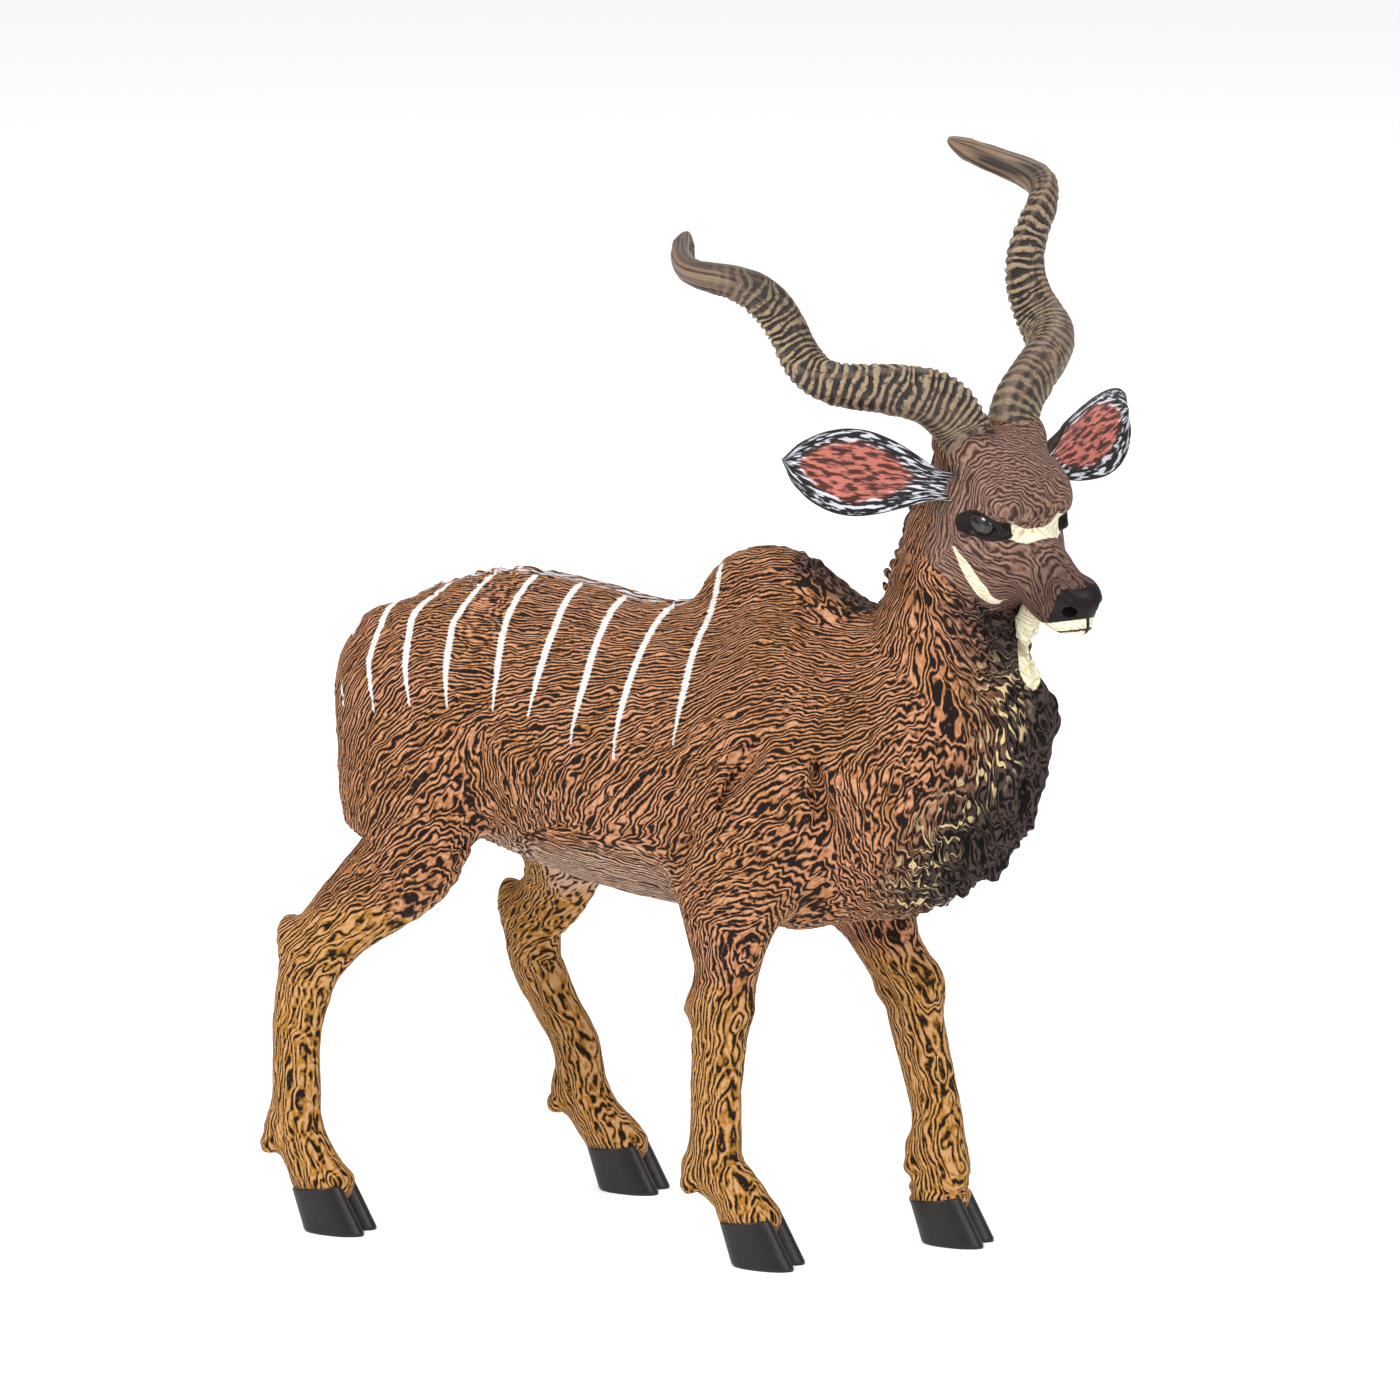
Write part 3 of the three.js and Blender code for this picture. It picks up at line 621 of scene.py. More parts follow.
faceMarks = {
    "chevronRight": [(12.4, -6.0, 0.3), (13.3, -4.6, 0.75), (14.6, -2.4, 1.0), (14.9, -0.5, 1.0)],
    "chevronLeft": [(14.9, 0.5, 1.0), (14.4, 2.4, 1.1), (13.0, 4.6, 1.0), (12.0, 6.2, 0.4)],
    "cheek": [(10.2, -8.5, 0.15), (13.6, -9.3, 0.9), (16.8, -10.3, 1.2), (18.6, -11.2, 0.9)],
    "tear": [(13.0, -2.2, 0.25), (13.8, -2.2, 0.1)]}


def paintZones(points, normals):  # every zone as a number for each vertex
    x, y, z = points.T
    jitter = speckle(points, 2.4)
    spots = toFace(points)
    fx, fy, fz = spots.T
    zones = {}
    rear, left = x < -12, y > 0
    socks = np.where(rear, np.where(left, 50, 42), np.where(left, 38, 34))
    zones["ochre"] = 1 - ramp(z + jitter * 1.5, socks, socks + 11)
    zones["pale"] = (1 - ramp(z + jitter, 56, 61)) * ramp(z, 44, 48) * ramp(x, -33, -29) * ramp(-x, -2, 4)
    edgeX = np.interp(z, *np.array(maneEdge, float).T)
    inFace = ramp(fx + 0.6 * (fz + 4), -1.5, 4) * (fz > -13) * (fx > -4)
    zones["face"] = inFace
    zones["mane"] = ramp(x - edgeX + jitter * 0.8, -2.4, 1.6) * (1 - inFace)
    zones["mane"] *= ramp(-z, -102, -96) * ramp(z, 46, 50)
    zones["strands"] = ramp(x - edgeX, -6, 0) * ramp(edgeX + 4.5 - x, 0, 3)
    zones["strands"] *= (z > 50) * (1 - inFace) * (1 - ramp(z, 86, 92))
    nape = ramp(normals[:, 0] * -0.7 + normals[:, 2], 0.45, 0.95) * ramp(2.6 - np.abs(y + 0.6), 0, 1.6)
    front = ramp(x, 12, 15) * ramp(4.6 - np.abs(y), 0, 2.5) * ramp(normals[:, 2], 0.2, 0.6)
    throat = ramp(z, 90, 95) * ramp(x, 38, 42) * 0.8
    maneSide = 0.7 * ramp(x - edgeX, -7, -2) * (z > 50) * (z < 98)
    zones["dark"] = np.maximum(nape * (x > 24), front * (x < 29)) * (z > 92)
    zones["dark"] = np.maximum.reduce([zones["dark"], throat, maneSide]) * (1 - inFace)
    zones["dark"] = np.maximum(zones["dark"], inFace * ramp(fx, 13, 24) * 0.75)
    zones["crest"] = ramp(2.2 - np.abs(y), 0, 1.4) * ramp(normals[:, 2], 0.75, 0.95)
    zones["crest"] *= (x > -50) * (x < 6) * (z > 90)
    zones["band"], zones["bandHalf"] = stripeCoordinate(points)
    zones["bandHalf"] = zones["bandHalf"] * ramp(np.abs(y), 0.8, 2.5)
    side = spots.copy()
    side[:, 1] = -np.abs(side[:, 1])
    marks = np.minimum(strokeDistance(spots, faceMarks["chevronRight"], [0, 1]),
                       strokeDistance(spots, faceMarks["chevronLeft"], [0, 1]))
    onBrow = (fz > -4.8) & (fx > 10.4) & ((np.abs(fy) < 3) | (fz < 1.45 - 0.35 * np.abs(fy)))
    marks = np.where(onBrow, marks, 3)
    cheek = strokeDistance(side, faceMarks["cheek"], [0, 2])
    marks = np.minimum(marks, np.where(np.abs(fy) > 3, cheek, 3))
    dropped = 0.83 * fx - 0.55 * fz
    lips = np.maximum.reduce([25.0 - dropped, 23.4 - fx, -10.5 - fz, fx - 33, np.abs(fy) - 7])
    marks = np.minimum(marks, lips)
    beard = np.minimum(*[lumpField(points, lump) for lump in beardLumps])
    marks = np.minimum(marks, beard - 0.35)
    tailMark = np.maximum(np.abs(y + 0.12 * (84 - z) + 2.9) - 0.55, np.abs(z - 77) - 7)
    zones["marks"] = np.minimum(marks, np.where(x < -56.2, tailMark, 3))
    tilt = math.radians(head["eyeTilt"])
    along = (fx - eyeX) * math.cos(tilt) + (fz - eyeZ) * math.sin(tilt)
    up = (fz - eyeZ) * math.cos(tilt) - (fx - eyeX) * math.sin(tilt)
    almond = np.hypot(along / np.where(along > 0, 4.4, 2.9), (up + 0.12 * np.abs(along)) / 1.95)
    eyeInk = np.where(np.abs(fy) > 4.6, (almond - 1) * 2.4, 3)
    tear = np.where(np.abs(fy) > 3, strokeDistance(side, faceMarks["tear"], [0, 2]), 3)
    nose = np.maximum(24.6 - fx - 0.35 * fz, dropped - 25.0)
    mouth = np.where(fx > 24.4, np.abs(dropped - 26.5) - 0.16, 3)
    seamLine = np.maximum(np.abs(fy) - 0.28, np.maximum(26.5 - fx, -5.4 - fz))
    zones["ink"] = np.minimum.reduce([eyeInk, tear, nose, mouth, seamLine, np.full(len(x), 3.0)])
    return zones


lie = lieAt(points)
zones = paintZones(points, normals)
clumps = hairs(points, lie, 4.2, 0.6)
locks = hairs(points, lie, 9, 1.5)
legShare = 1 - ramp(points[:, 2], 44, 58)
faceShare = zones["face"]
deep = 0.13 * (1 - 0.75 * faceShare) * (1 - 0.25 * legShare)
shift = deep * np.clip(clumps, -1.6, 1.6) + 0.6 * zones["mane"] * np.clip(locks, -1.5, 1.5)
shift += 0.3 * (zones["dark"] + zones["crest"]) * np.clip(clumps, -1, 1.6) * (1 - faceShare)
shift *= 1 - ramp(-zones["ink"], -0.4, 0.2)
points = points + normals * shift[:, None]
strand = np.clip(0.5 + 0.3 * clumps, 0, 1)
normals = cornerNormals(points, faces)
print("combed")

barrelEnd = -16.0  # where the trunk's two halves meet


def ownersOf(spots):  # which piece each face belongs to
    owner = np.where(spots[:, 0] > barrelEnd, 0, 1)
    seam = spots[:, 0] - 27.2 + math.tan(math.radians(7.5)) * (spots[:, 2] - 73)
    owner[seam > 0] = 2
    for number, name in enumerate((*legNames, "tail"), 3):
        some = near(spots, parts[name])
        ends, reaches = ([84, 88], [1.2, -1]) if name == "tail" else ([46, 62], [8, -3])
        reach = np.interp(spots[:, 2], ends, reaches)
        hit = np.zeros(len(spots), bool)
        hit[some] = sweepField(spots[some], parts[name]) < reach[some]
        if name != "tail":
            hit &= (spots[:, 1] > 0) == (name.endswith("left"))
        owner[hit] = number
    return owner


def addMesh(name, vertices, polygons, attributes):  # one Blender mesh object from points and face lists
    mesh = bpy.data.meshes.new(name)
    mesh.vertices.add(len(vertices))
    mesh.vertices.foreach_set("co", metres(vertices).astype(np.float32).ravel())
    corners = np.concatenate([rows.ravel() for rows in polygons]).astype(np.int32)
    sizes = np.concatenate([np.full(len(rows), rows.shape[1]) for rows in polygons])
    mesh.loops.add(len(corners))
    mesh.loops.foreach_set("vertex_index", corners)
    mesh.polygons.add(len(sizes))
    mesh.polygons.foreach_set("loop_start", np.concatenate([[0], np.cumsum(sizes)[:-1]]).astype(np.int32))
    mesh.polygons.foreach_set("use_smooth", np.ones(len(sizes), bool))
    mesh.update(calc_edges=True)
    for key, data in attributes.items():
        vector = data.ndim == 2
        made = mesh.attributes.new(key, "FLOAT_VECTOR" if vector else "FLOAT", "POINT")
        made.data.foreach_set("vector" if vector else "value", data.astype(np.float32).ravel())
    made = bpy.data.objects.new(name, mesh)
    bpy.context.collection.objects.link(made)
    return made


centres = {0: (0, 0, 75), 1: (-34, 0, 78), 2: (34, 0, 82)}  # where the fans of the largest pieces meet


def cutPiece(name, number, replaced, material):  # faces of one owner, closed inside by a fan
    mine = faces[owner == number]
    edges = np.stack([mine, np.roll(mine, -1, 1)], -1).reshape(-1, 2)
    size = len(points)
    forward = edges[:, 0].astype(np.int64) * size + edges[:, 1]
    backward = edges[:, 1].astype(np.int64) * size + edges[:, 0]
    rim = edges[~np.isin(forward, backward)]
    used, where = np.unique(mine, return_inverse=True)
    index = np.zeros(size, np.int64)
    index[used] = np.arange(len(used))
    centre = np.array(centres.get(number, points[rim[:, 0]].mean(0) if len(rim) else (0, 0, 0)), float)
    vertices = np.concatenate([points[used], centre[None]])
    cap = np.stack([index[rim[:, 1]], index[rim[:, 0]], np.full(len(rim), len(used))], 1)
    data = {key: np.append(value[used], 0) for key, value in zones.items()}
    data["strand"] = np.append(strand[used], 0.5)
    data["lie"] = np.concatenate([np.pad(lie[used], ((0, 0), (0, 1))), [[1, 0, 0]]])
    made = addMesh(name, vertices, [index[mine], cap], data)
    made.data.normals_split_custom_set_from_vertices(np.append(normals[used], [[0, 0, 1]], 0).tolist())
    made.data.materials.append(material)
    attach(made, "root")
    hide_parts(*replaced)
    print(name, len(mine) * 2, "triangles")


def tint(red, green, blue):  # 0-255 screen colour to the linear colour that shaders take
    shares = [level / 255 for level in (red, green, blue)]
    return (*(share / 12.92 if share <= 0.04 else ((share + 0.055) / 1.055) ** 2.4 for share in shares), 1)


def feed(tree, socket, value):  # a fixed value or another node's output into one socket
    if isinstance(value, bpy.types.NodeSocket):
        tree.links.new(value, socket)
    else:
        socket.default_value = value


def node(tree, kind, values=None, **settings):  # a node, its settings and what goes into its sockets
    made = tree.nodes.new("ShaderNode" + kind)
    for key, value in settings.items():
        setattr(made, key, value)
    for key, value in (values or {}).items():
        feed(tree, made.inputs[key], value)
    return made


def maths(tree, operation, first, second=0.0, third=0.0):  # one sum with up to three numbers
    return node(tree, "Math", {0: first, 1: second, 2: third}, operation=operation).outputs[0]


def noise(tree, place, scale, detail=2.0, roughness=0.5):  # even 3-D noise about a half
    values = {"Vector": place, "Scale": scale, "Detail": detail, "Roughness": roughness}
    return node(tree, "TexNoise", values).outputs


def edge(tree, value, low, high):  # smooth step, 0 at low and 1 at high
    return node(tree, "MapRange", {"Value": value, "From Min": low, "From Max": high},
                interpolation_type="SMOOTHSTEP").outputs["Result"]


def blend(tree, share, first, second):  # colours mixed by share
    return node(tree, "Mix", {"Factor": share, 6: first, 7: second}, data_type="RGBA").outputs[2]


def attribute(tree, name, output="Fac"):  # what the mesh stores under that name
    return node(tree, "Attribute", attribute_name=name).outputs[output]


def group(name, inputs, outputs):  # an empty node group with named sockets
    tree = bpy.data.node_groups.new(name, "ShaderNodeTree")
    for label, kind in inputs:
        tree.interface.new_socket(label, in_out="INPUT", socket_type="NodeSocket" + kind)
    for label, kind in outputs:
        tree.interface.new_socket(label, in_out="OUTPUT", socket_type="NodeSocket" + kind)
    return tree, tree.nodes.new("NodeGroupInput").outputs, tree.nodes.new("NodeGroupOutput")


def useGroup(tree, inner, values):  # a node group at work, with its inputs filled
    return node(tree, "Group", values, node_tree=inner).outputs


# Length and width of the noise that shifts the strokes, millimetres between strokes, and how far they waver.
hairPaint = {"fine": {"Length": 3.0, "Width": 1.3, "Period": 0.7, "Waver": 15.0},
             "long": {"Length": 8.0, "Width": 2.4, "Period": 1.0, "Waver": 9.0},
             "wander": 1.1, "height": 0.12}


def strokesGroup():  # for each set direction a sine wave across it, its phase shifted by stretched noise
    inputs = [("Place", "Vector"), ("Lie", "Vector")] + [(label, "Float") for label in hairPaint["fine"]]
    tree, given, result = group("hairStrokes", inputs, [("Stroke", "Float")])
    turns = maths(tree, "DIVIDE", 2 * math.pi, given["Period"])
    wander = noise(tree, given["Place"], 0.3, 1.0)["Color"]
    moved = node(tree, "VectorMath", {0: wander, 1: (0.5, 0.5, 0.5)}, operation="SUBTRACT").outputs[0]
    place = node(tree, "VectorMath", {0: moved, 1: (hairPaint["wander"],) * 3, 2: given["Place"]},
                 operation="MULTIPLY_ADD").outputs[0]
    along = maths(tree, "DIVIDE", 1.0, given["Length"])
    across = maths(tree, "DIVIDE", 1.0, given["Width"])
    scale = node(tree, "CombineXYZ", {0: along, 1: across, 2: across}).outputs[0]
    total, power = 0.0, 0.0
    for k in range(bank["count"]):
        slant = math.pi * k / bank["count"]
        lean = node(tree, "VectorMath", {0: given["Lie"], 1: (math.cos(2 * slant), math.sin(2 * slant), 0)},
                    operation="DOT_PRODUCT").outputs["Value"]
        share = node(tree, "MapRange", {"Value": lean, "From Min": bank["edge"], "From Max": 1.0}).outputs[0]
        spun = node(tree, "VectorRotate", {"Vector": place, "Angle": slant}, rotation_type="Y_AXIS")
        swap = node(tree, "SeparateXYZ", {0: spun.outputs[0]}).outputs
        ready = node(tree, "CombineXYZ", {0: swap[0], 1: swap[2], 2: swap[1]}).outputs[0]
        drawn = node(tree, "VectorMath", {0: ready, 1: scale, 2: (3.1 * k, 5.7 * k, 1.3 * k)},
                     operation="MULTIPLY_ADD").outputs[0]
        wavy = maths(tree, "SUBTRACT", noise(tree, drawn, 1.0, 0.6, 0.4)["Fac"], 0.5)
        shifted = maths(tree, "MULTIPLY", wavy, given["Waver"])
        away = maths(tree, "ADD", swap[2], swap[1])
        wave = maths(tree, "SINE", maths(tree, "MULTIPLY_ADD", away, turns, shifted))
        total = maths(tree, "MULTIPLY_ADD", wave, share, total)
        power = maths(tree, "MULTIPLY_ADD", share, share, power)
    even = maths(tree, "DIVIDE", total, maths(tree, "SQRT", maths(tree, "MAXIMUM", power, 0.01)))
    even = maths(tree, "MULTIPLY", even, hairPaint["height"])
    tree.links.new(even, result.inputs["Stroke"])
    return tree


coatColours = {  # groove, ridge
    "brown": (tint(24, 13, 9), tint(178, 120, 84)), "patch": (tint(24, 13, 9), tint(164, 108, 64)),
    "ochre": (tint(24, 13, 7), tint(162, 112, 44)),
    "pale": (tint(52, 30, 25), tint(190, 156, 132)), "face": (tint(64, 43, 38), tint(120, 91, 81)),
    "mane": (tint(4, 2, 2), tint(70, 55, 50)), "dark": (tint(24, 14, 12), tint(82, 58, 48))}
# the first touch is a light tan for the ridge tops, partly dry-brushed paint and partly a painted highlight
touches = {"drybrushAndSheen": tint(228, 184, 144), "strand": tint(222, 196, 142), "crest": tint(214, 214, 222),
           "stripe": tint(238, 236, 232), "creamGroove": tint(206, 184, 130), "cream": tint(240, 233, 204),
           "ink": tint(30, 22, 22)}
zoneNames = {"Strand": "strand", "Ochre": "ochre", "Pale": "pale", "Face": "face", "Mane": "mane",
             "Dark": "dark", "Crest": "crest", "Strands": "strands", "Marks": "marks", "Ink": "ink",
             "Band": "band", "Band Half": "bandHalf"}


def coatGroup():  # the painted coat: zones choose groove and ridge colours, strokes choose between them
    inputs = [("Place", "Vector"), ("Lie", "Vector")] + [(label, "Float") for label in zoneNames]
    tree, given, result = group("paintedCoat", inputs,
                                [("Color", "Color"), ("Roughness", "Float"), ("Height", "Float")])
    strokes = strokesGroup()
    spot = {"Place": given["Place"], "Lie": given["Lie"]}
    fine, long = (useGroup(tree, strokes, {**spot, **hairPaint[kind]})["Stroke"] for kind in ("fine", "long"))
    patch = noise(tree, given["Place"], 0.16)["Fac"]
    grain = noise(tree, given["Place"], 2.2)["Fac"]
    zoned = maths(tree, "MULTIPLY_ADD", maths(tree, "SUBTRACT", patch, 0.5), 0.9, given["Ochre"])
    ochre = edge(tree, zoned, 0.35, 0.65)
    groove, ridge = coatColours["brown"]
    for share, key in ((edge(tree, patch, 0.42, 0.62), "patch"), (ochre, "ochre"), (given["Pale"], "pale"),
                       (given["Face"], "face"), (given["Dark"], "dark"), (given["Mane"], "mane")):
        first, second = coatColours[key]
        groove, ridge = blend(tree, share, groove, first), blend(tree, share, ridge, second)
    legLine = maths(tree, "MULTIPLY", ochre, 0.05)
    faceLine = maths(tree, "MULTIPLY", given["Face"], 0.04)
    value = maths(tree, "ADD", maths(tree, "ADD", fine, legLine), faceLine)
    relief = maths(tree, "MULTIPLY", maths(tree, "SUBTRACT", given["Strand"], 0.5), 0.10)
    value = maths(tree, "ADD", value, relief)
    value = maths(tree, "MULTIPLY_ADD", maths(tree, "SUBTRACT", grain, 0.5), 0.22, value)
    raised = edge(tree, value, -0.06, 0.05)
    colour = blend(tree, raised, groove, ridge)
    # lighter tan on the highest ridge tops, partly the dry-brushed paint and partly a painted highlight;
    # weaker on the face and dark zones, none on the mane
    drybrushAndSheen = maths(tree, "MULTIPLY", edge(tree, value, 0.08, 0.16), 0.4)
    plain = maths(tree, "MULTIPLY_ADD", given["Face"], 0.45, maths(tree, "MULTIPLY", given["Dark"], 0.55))
    plain = maths(tree, "MAXIMUM", given["Mane"], plain)
    drybrushAndSheen = maths(tree, "MULTIPLY", drybrushAndSheen, maths(tree, "SUBTRACT", 1.0, plain))
    colour = blend(tree, drybrushAndSheen, colour, touches["drybrushAndSheen"])
    strandShare = maths(tree, "MULTIPLY", given["Strands"], 0.9)
    strandShare = maths(tree, "MULTIPLY", edge(tree, long, 0.085, 0.115), strandShare)
    colour = blend(tree, strandShare, colour, touches["strand"])
    white = maths(tree, "MULTIPLY", edge(tree, long, 0.02, 0.09), given["Crest"])
    colour = blend(tree, white, colour, touches["crest"])
    away = maths(tree, "SUBTRACT", given["Band"], maths(tree, "ROUND", given["Band"]))
    gap = maths(tree, "SUBTRACT", given["Band Half"], maths(tree, "ABSOLUTE", away))
    gap = maths(tree, "MULTIPLY_ADD", value, 0.07, gap)
    present = edge(tree, given["Band Half"], 0.0, 0.02)
    striped = maths(tree, "MULTIPLY", edge(tree, gap, -0.012, 0.03), present)
    colour = blend(tree, maths(tree, "MULTIPLY", striped, 0.93), colour, touches["stripe"])
    cream = edge(tree, maths(tree, "MULTIPLY_ADD", grain, 0.3, given["Marks"]), 0.22, 0.08)
    creamTint = blend(tree, edge(tree, fine, -0.14, -0.05), touches["creamGroove"], touches["cream"])
    colour = blend(tree, cream, colour, creamTint)
    inked = edge(tree, maths(tree, "MULTIPLY_ADD", grain, 0.2, given["Ink"]), 0.16, 0.04)
    colour = blend(tree, inked, colour, touches["ink"])
    rough = maths(tree, "MULTIPLY_ADD", inked, -0.25, 0.62)
    furry = maths(tree, "SUBTRACT", 1.0, maths(tree, "MULTIPLY", given["Face"], 0.55))
    height = maths(tree, "MULTIPLY", raised, furry)
    height = maths(tree, "MULTIPLY_ADD", grain, 0.25, height)
    height = maths(tree, "MULTIPLY", height, maths(tree, "SUBTRACT", 1.0, inked))
    for label, output in (("Color", colour), ("Roughness", rough), ("Height", height)):
        tree.links.new(output, result.inputs[label])
    return tree


def newMaterial(name, specular):  # a material, its node tree, its shader and the place in millimetres
    made = bpy.data.materials.new(name)
    made.use_nodes = True
    tree = made.node_tree
    shader = tree.nodes["Principled BSDF"]
    shader.inputs["Specular IOR Level"].default_value = specular
    millimetre = node(tree, "TexCoord").outputs["Object"]
    place = node(tree, "VectorMath", {0: millimetre, 1: (1000, 1000, 1000)}, operation="MULTIPLY").outputs[0]
    return made, tree, shader, place


def dress(tree, shader, colour, roughness, height, distance, strength=1.0):  # colour, shine and bumps in mm
    feed(tree, shader.inputs["Base Color"], colour)
    feed(tree, shader.inputs["Roughness"], roughness)
    bump = node(tree, "Bump", {"Height": height, "Distance": distance * 0.001, "Strength": strength})
    feed(tree, shader.inputs["Normal"], bump.outputs[0])


coatTree = coatGroup()


def coatMaterial(name):  # the painted coat's group, fed with what each vertex stores
    made, tree, shader, place = newMaterial(name, 0.15)
    stored = {label: attribute(tree, zone) for label, zone in zoneNames.items()}
    out = useGroup(tree, coatTree, {"Place": place, "Lie": attribute(tree, "lie", "Vector"), **stored})
    dress(tree, shader, out["Color"], out["Roughness"], out["Height"], 0.16)
    return made


bodyCoat, headCoat, legCoat = (coatMaterial(name) for name in ("body_coat", "head_coat", "leg_coat"))
middle = (faces[:, 0], faces[:, 2])
owner = ownersOf((points[middle[0]] + points[middle[1]]) / 2)
coatPieces = [("barrel", ["trunk"], "body_coat", bodyCoat), ("haunches", ["trunk"], "body_coat", bodyCoat),
              ("head_neck_mane", ["head_and_neck"], "head_coat", headCoat)]
coatPieces += [(name, [name], "leg_coat", legCoat) for name in legNames]
coatPieces.append(("tail", ["tail"], "body_coat", bodyCoat))
for number, (name, replaced, slotName, material) in enumerate(coatPieces):
    cutPiece(name + "_paint", number, replaced, material)


def gridMesh(name, grid, attributes, material):  # rows of rings, joined round and capped
    rows, around = grid.shape[:2]
    index = np.arange(rows * around).reshape(rows, around)
    after = np.roll(index, -1, 1)
    quads = np.stack([index[:-1], after[:-1], after[1:], index[1:]], -1).reshape(-1, 4)
    vertices = np.concatenate([grid.reshape(-1, 3), grid[:1].mean(1), grid[-1:].mean(1)])
    first = np.stack([after[0], index[0], np.full(around, rows * around)], 1)
    last = np.stack([index[-1], after[-1], np.full(around, rows * around + 1)], 1)
    volume = (np.cross(vertices[quads[:, 0]], vertices[quads[:, 1]]) * vertices[quads[:, 2]]).sum()
    if volume <= 0:  # inside out
        quads, first, last = quads[:, ::-1], first[:, ::-1], last[:, ::-1]
    data = {}
    for key, value in attributes.items():
        ends = [value[:1].mean(1), value[-1:].mean(1)]
        data[key] = np.concatenate([value.reshape(-1)] + ends)
    made = addMesh(name, vertices, [quads, np.concatenate([first, last])], data)
    made.data.materials.append(material)
    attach(made, "root")
    return made


def seated(local, at, splay, rise, twist):  # a head part's own points to the modeller's frame
    splay, rise = math.radians(splay), math.radians(rise)
    back = np.array([-math.cos(splay) * math.cos(rise), math.sin(splay) * math.cos(rise), math.sin(rise)])
    side = unit(np.cross([0, 0, 1.0], back))
    axes = np.stack([side, np.cross(back, side), back], 1)
    spin = np.array(Matrix.Rotation(math.radians(twist), 3, "Z"))
    return fromLevel(local @ (axes @ spin).T + np.array(at))


horns = {"length": 47.6, "width": 3.75, "root": 2.6, "coil": (-5.7, 8.5), "turns": 1.4, "phase": 144,
         "bow": 10, "bowSide": -119, "ringGap": 1.25,
         "left": (1, (-1.6, 4.8, 1.8), 19.5, 56.5, -9), "right": (-1, (-0.8, -5.9, 2.6), -29, 39, -1)}


def hornMiddle(share, sign):  # a coil whose radius runs from one side to the other, bowed in the middle
    angle = math.radians(horns["phase"]) + 2 * math.pi * horns["turns"] * share
    first, last = horns["coil"]
    radius = first + (last - first) * share
    bulge = horns["bow"] * 4 * share * (1 - share)
    start = math.radians(horns["phase"])
    x = radius * np.cos(angle) - first * math.cos(start) + bulge * math.cos(math.radians(horns["bowSide"]))
    y = radius * np.sin(angle) - first * math.sin(start) + bulge * math.sin(math.radians(horns["bowSide"]))
    return np.stack([sign * x, y, horns["length"] * share], -1)


def hornGrid(sign, rows=520, around=56):  # rings wrapped over a tapering tube with a keel winding up it
    share = np.linspace(-horns["root"] / horns["length"], 1, rows)
    spine = hornMiddle(share, sign)
    tangent = unit(np.gradient(spine, axis=0))
    arc = np.concatenate([[0], np.cumsum(np.linalg.norm(np.diff(spine, axis=0), axis=1))])
    side = np.zeros_like(spine)
    side[0] = unit(np.cross(tangent[0], [0, 1.0, 0]))
    for i in range(1, rows):  # the frame is carried along without spinning
        side[i] = unit(side[i - 1] - tangent[i] * (side[i - 1] @ tangent[i]))
    over = np.cross(tangent, side)
    angle = np.linspace(0, 2 * math.pi, around, endpoint=False)
    spin = angle[None, :] - sign * (0.6 + 4.2 * share[:, None])  # the keel winds round
    up = np.maximum(share, 0)[:, None]
    radius = horns["width"] * (1 - 0.42 * up - 0.2 * up**3)
    radius = radius * np.sqrt(np.clip((1 - share[:, None]) / 0.03, 0.02, 1))
    wave = arc[:, None] + 0.35 * np.sin(2 * angle + 1.3 * arc[:, None] * 0.2) + 0.3 * np.cos(spin)

    def onTube(radius, stretch):  # places on a plain tube, so that specks wrap round the horn
        tube = (np.cos(angle)[None] * radius, np.sin(angle)[None] * radius, arc[:, None] / stretch)
        return np.stack(np.broadcast_arrays(*tube), -1)

    uneven = speckle(onTube(2.2, 1), 1.7)
    ring = 0.5 + 0.5 * np.cos(2 * math.pi * (wave + 0.42 * uneven) / horns["ringGap"])
    ring = ramp(ring, 0.1, 0.85)
    fade = (1 - ramp(share, 0.62, 0.86))[:, None]
    frontal = 0.55 + 0.45 * np.cos(spin)
    flutes = speckle(onTube(5, 7), 1.0)
    keel = np.exp(-((np.angle(np.exp(1j * spin)) / 0.22) ** 2)) * 0.5
    radius = radius * (1 + 0.07 * np.cos(2 * spin)) + 0.34 * (ring - 0.6) * fade * frontal
    radius = radius + 0.1 * flutes * (1 - 0.6 * fade) + keel * (1 - 0.5 * up) + 0.05 * uneven
    radius = np.maximum(radius, 0.15)
    grid = spine[:, None] + radius[..., None] * (np.cos(angle)[None, :, None] * side[:, None]
                                                 + np.sin(angle)[None, :, None] * over[:, None])
    full = np.ones_like(radius)
    return grid, {"ring": ring * full, "fade": fade * full * (0.45 + 0.55 * frontal),
                  "flute": flutes * full, "keel": keel * 2 * full}


def hornMaterial():  # dark between the rings, dry-brushed on them, fluted and paler to the tip
    made, tree, shader, place = newMaterial("horn_paint", 0.45)
    ring, fade, flute, keel = (attribute(tree, key) for key in ("ring", "fade", "flute", "keel"))
    grain = noise(tree, place, 1.3, 4.0, 0.65)["Fac"]
    brushed = edge(tree, maths(tree, "MULTIPLY_ADD", grain, 3.6, ring), 2.3, 2.8)
    raised = edge(tree, maths(tree, "MULTIPLY_ADD", grain, 2.0, ring), 1.2, 1.7)
    fluted = blend(tree, edge(tree, flute, -0.6, 0.9), tint(46, 32, 26), tint(134, 108, 84))
    colour = blend(tree, raised, tint(20, 13, 11), tint(70, 54, 45))
    colour = blend(tree, maths(tree, "SUBTRACT", 1.0, fade), colour, fluted)
    lift = maths(tree, "MULTIPLY", maths(tree, "MULTIPLY", brushed, fade), 0.85)
    colour = blend(tree, lift, colour, tint(166, 142, 110))
    worn = maths(tree, "MULTIPLY", edge(tree, keel, 0.5, 0.95), 0.3)
    colour = blend(tree, worn, colour, tint(140, 114, 90))
    dress(tree, shader, colour, 0.5, grain, 0.12, 0.7)
    return made


hornPaint = hornMaterial()
for name in ("left", "right"):
    sign, at, splay, rise, twist = horns[name]
    grid, data = hornGrid(sign)
    made = gridMesh(f"horn_{name}_paint", seated(grid, at, splay, rise, twist), data, hornPaint)
    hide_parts("horn_" + name)

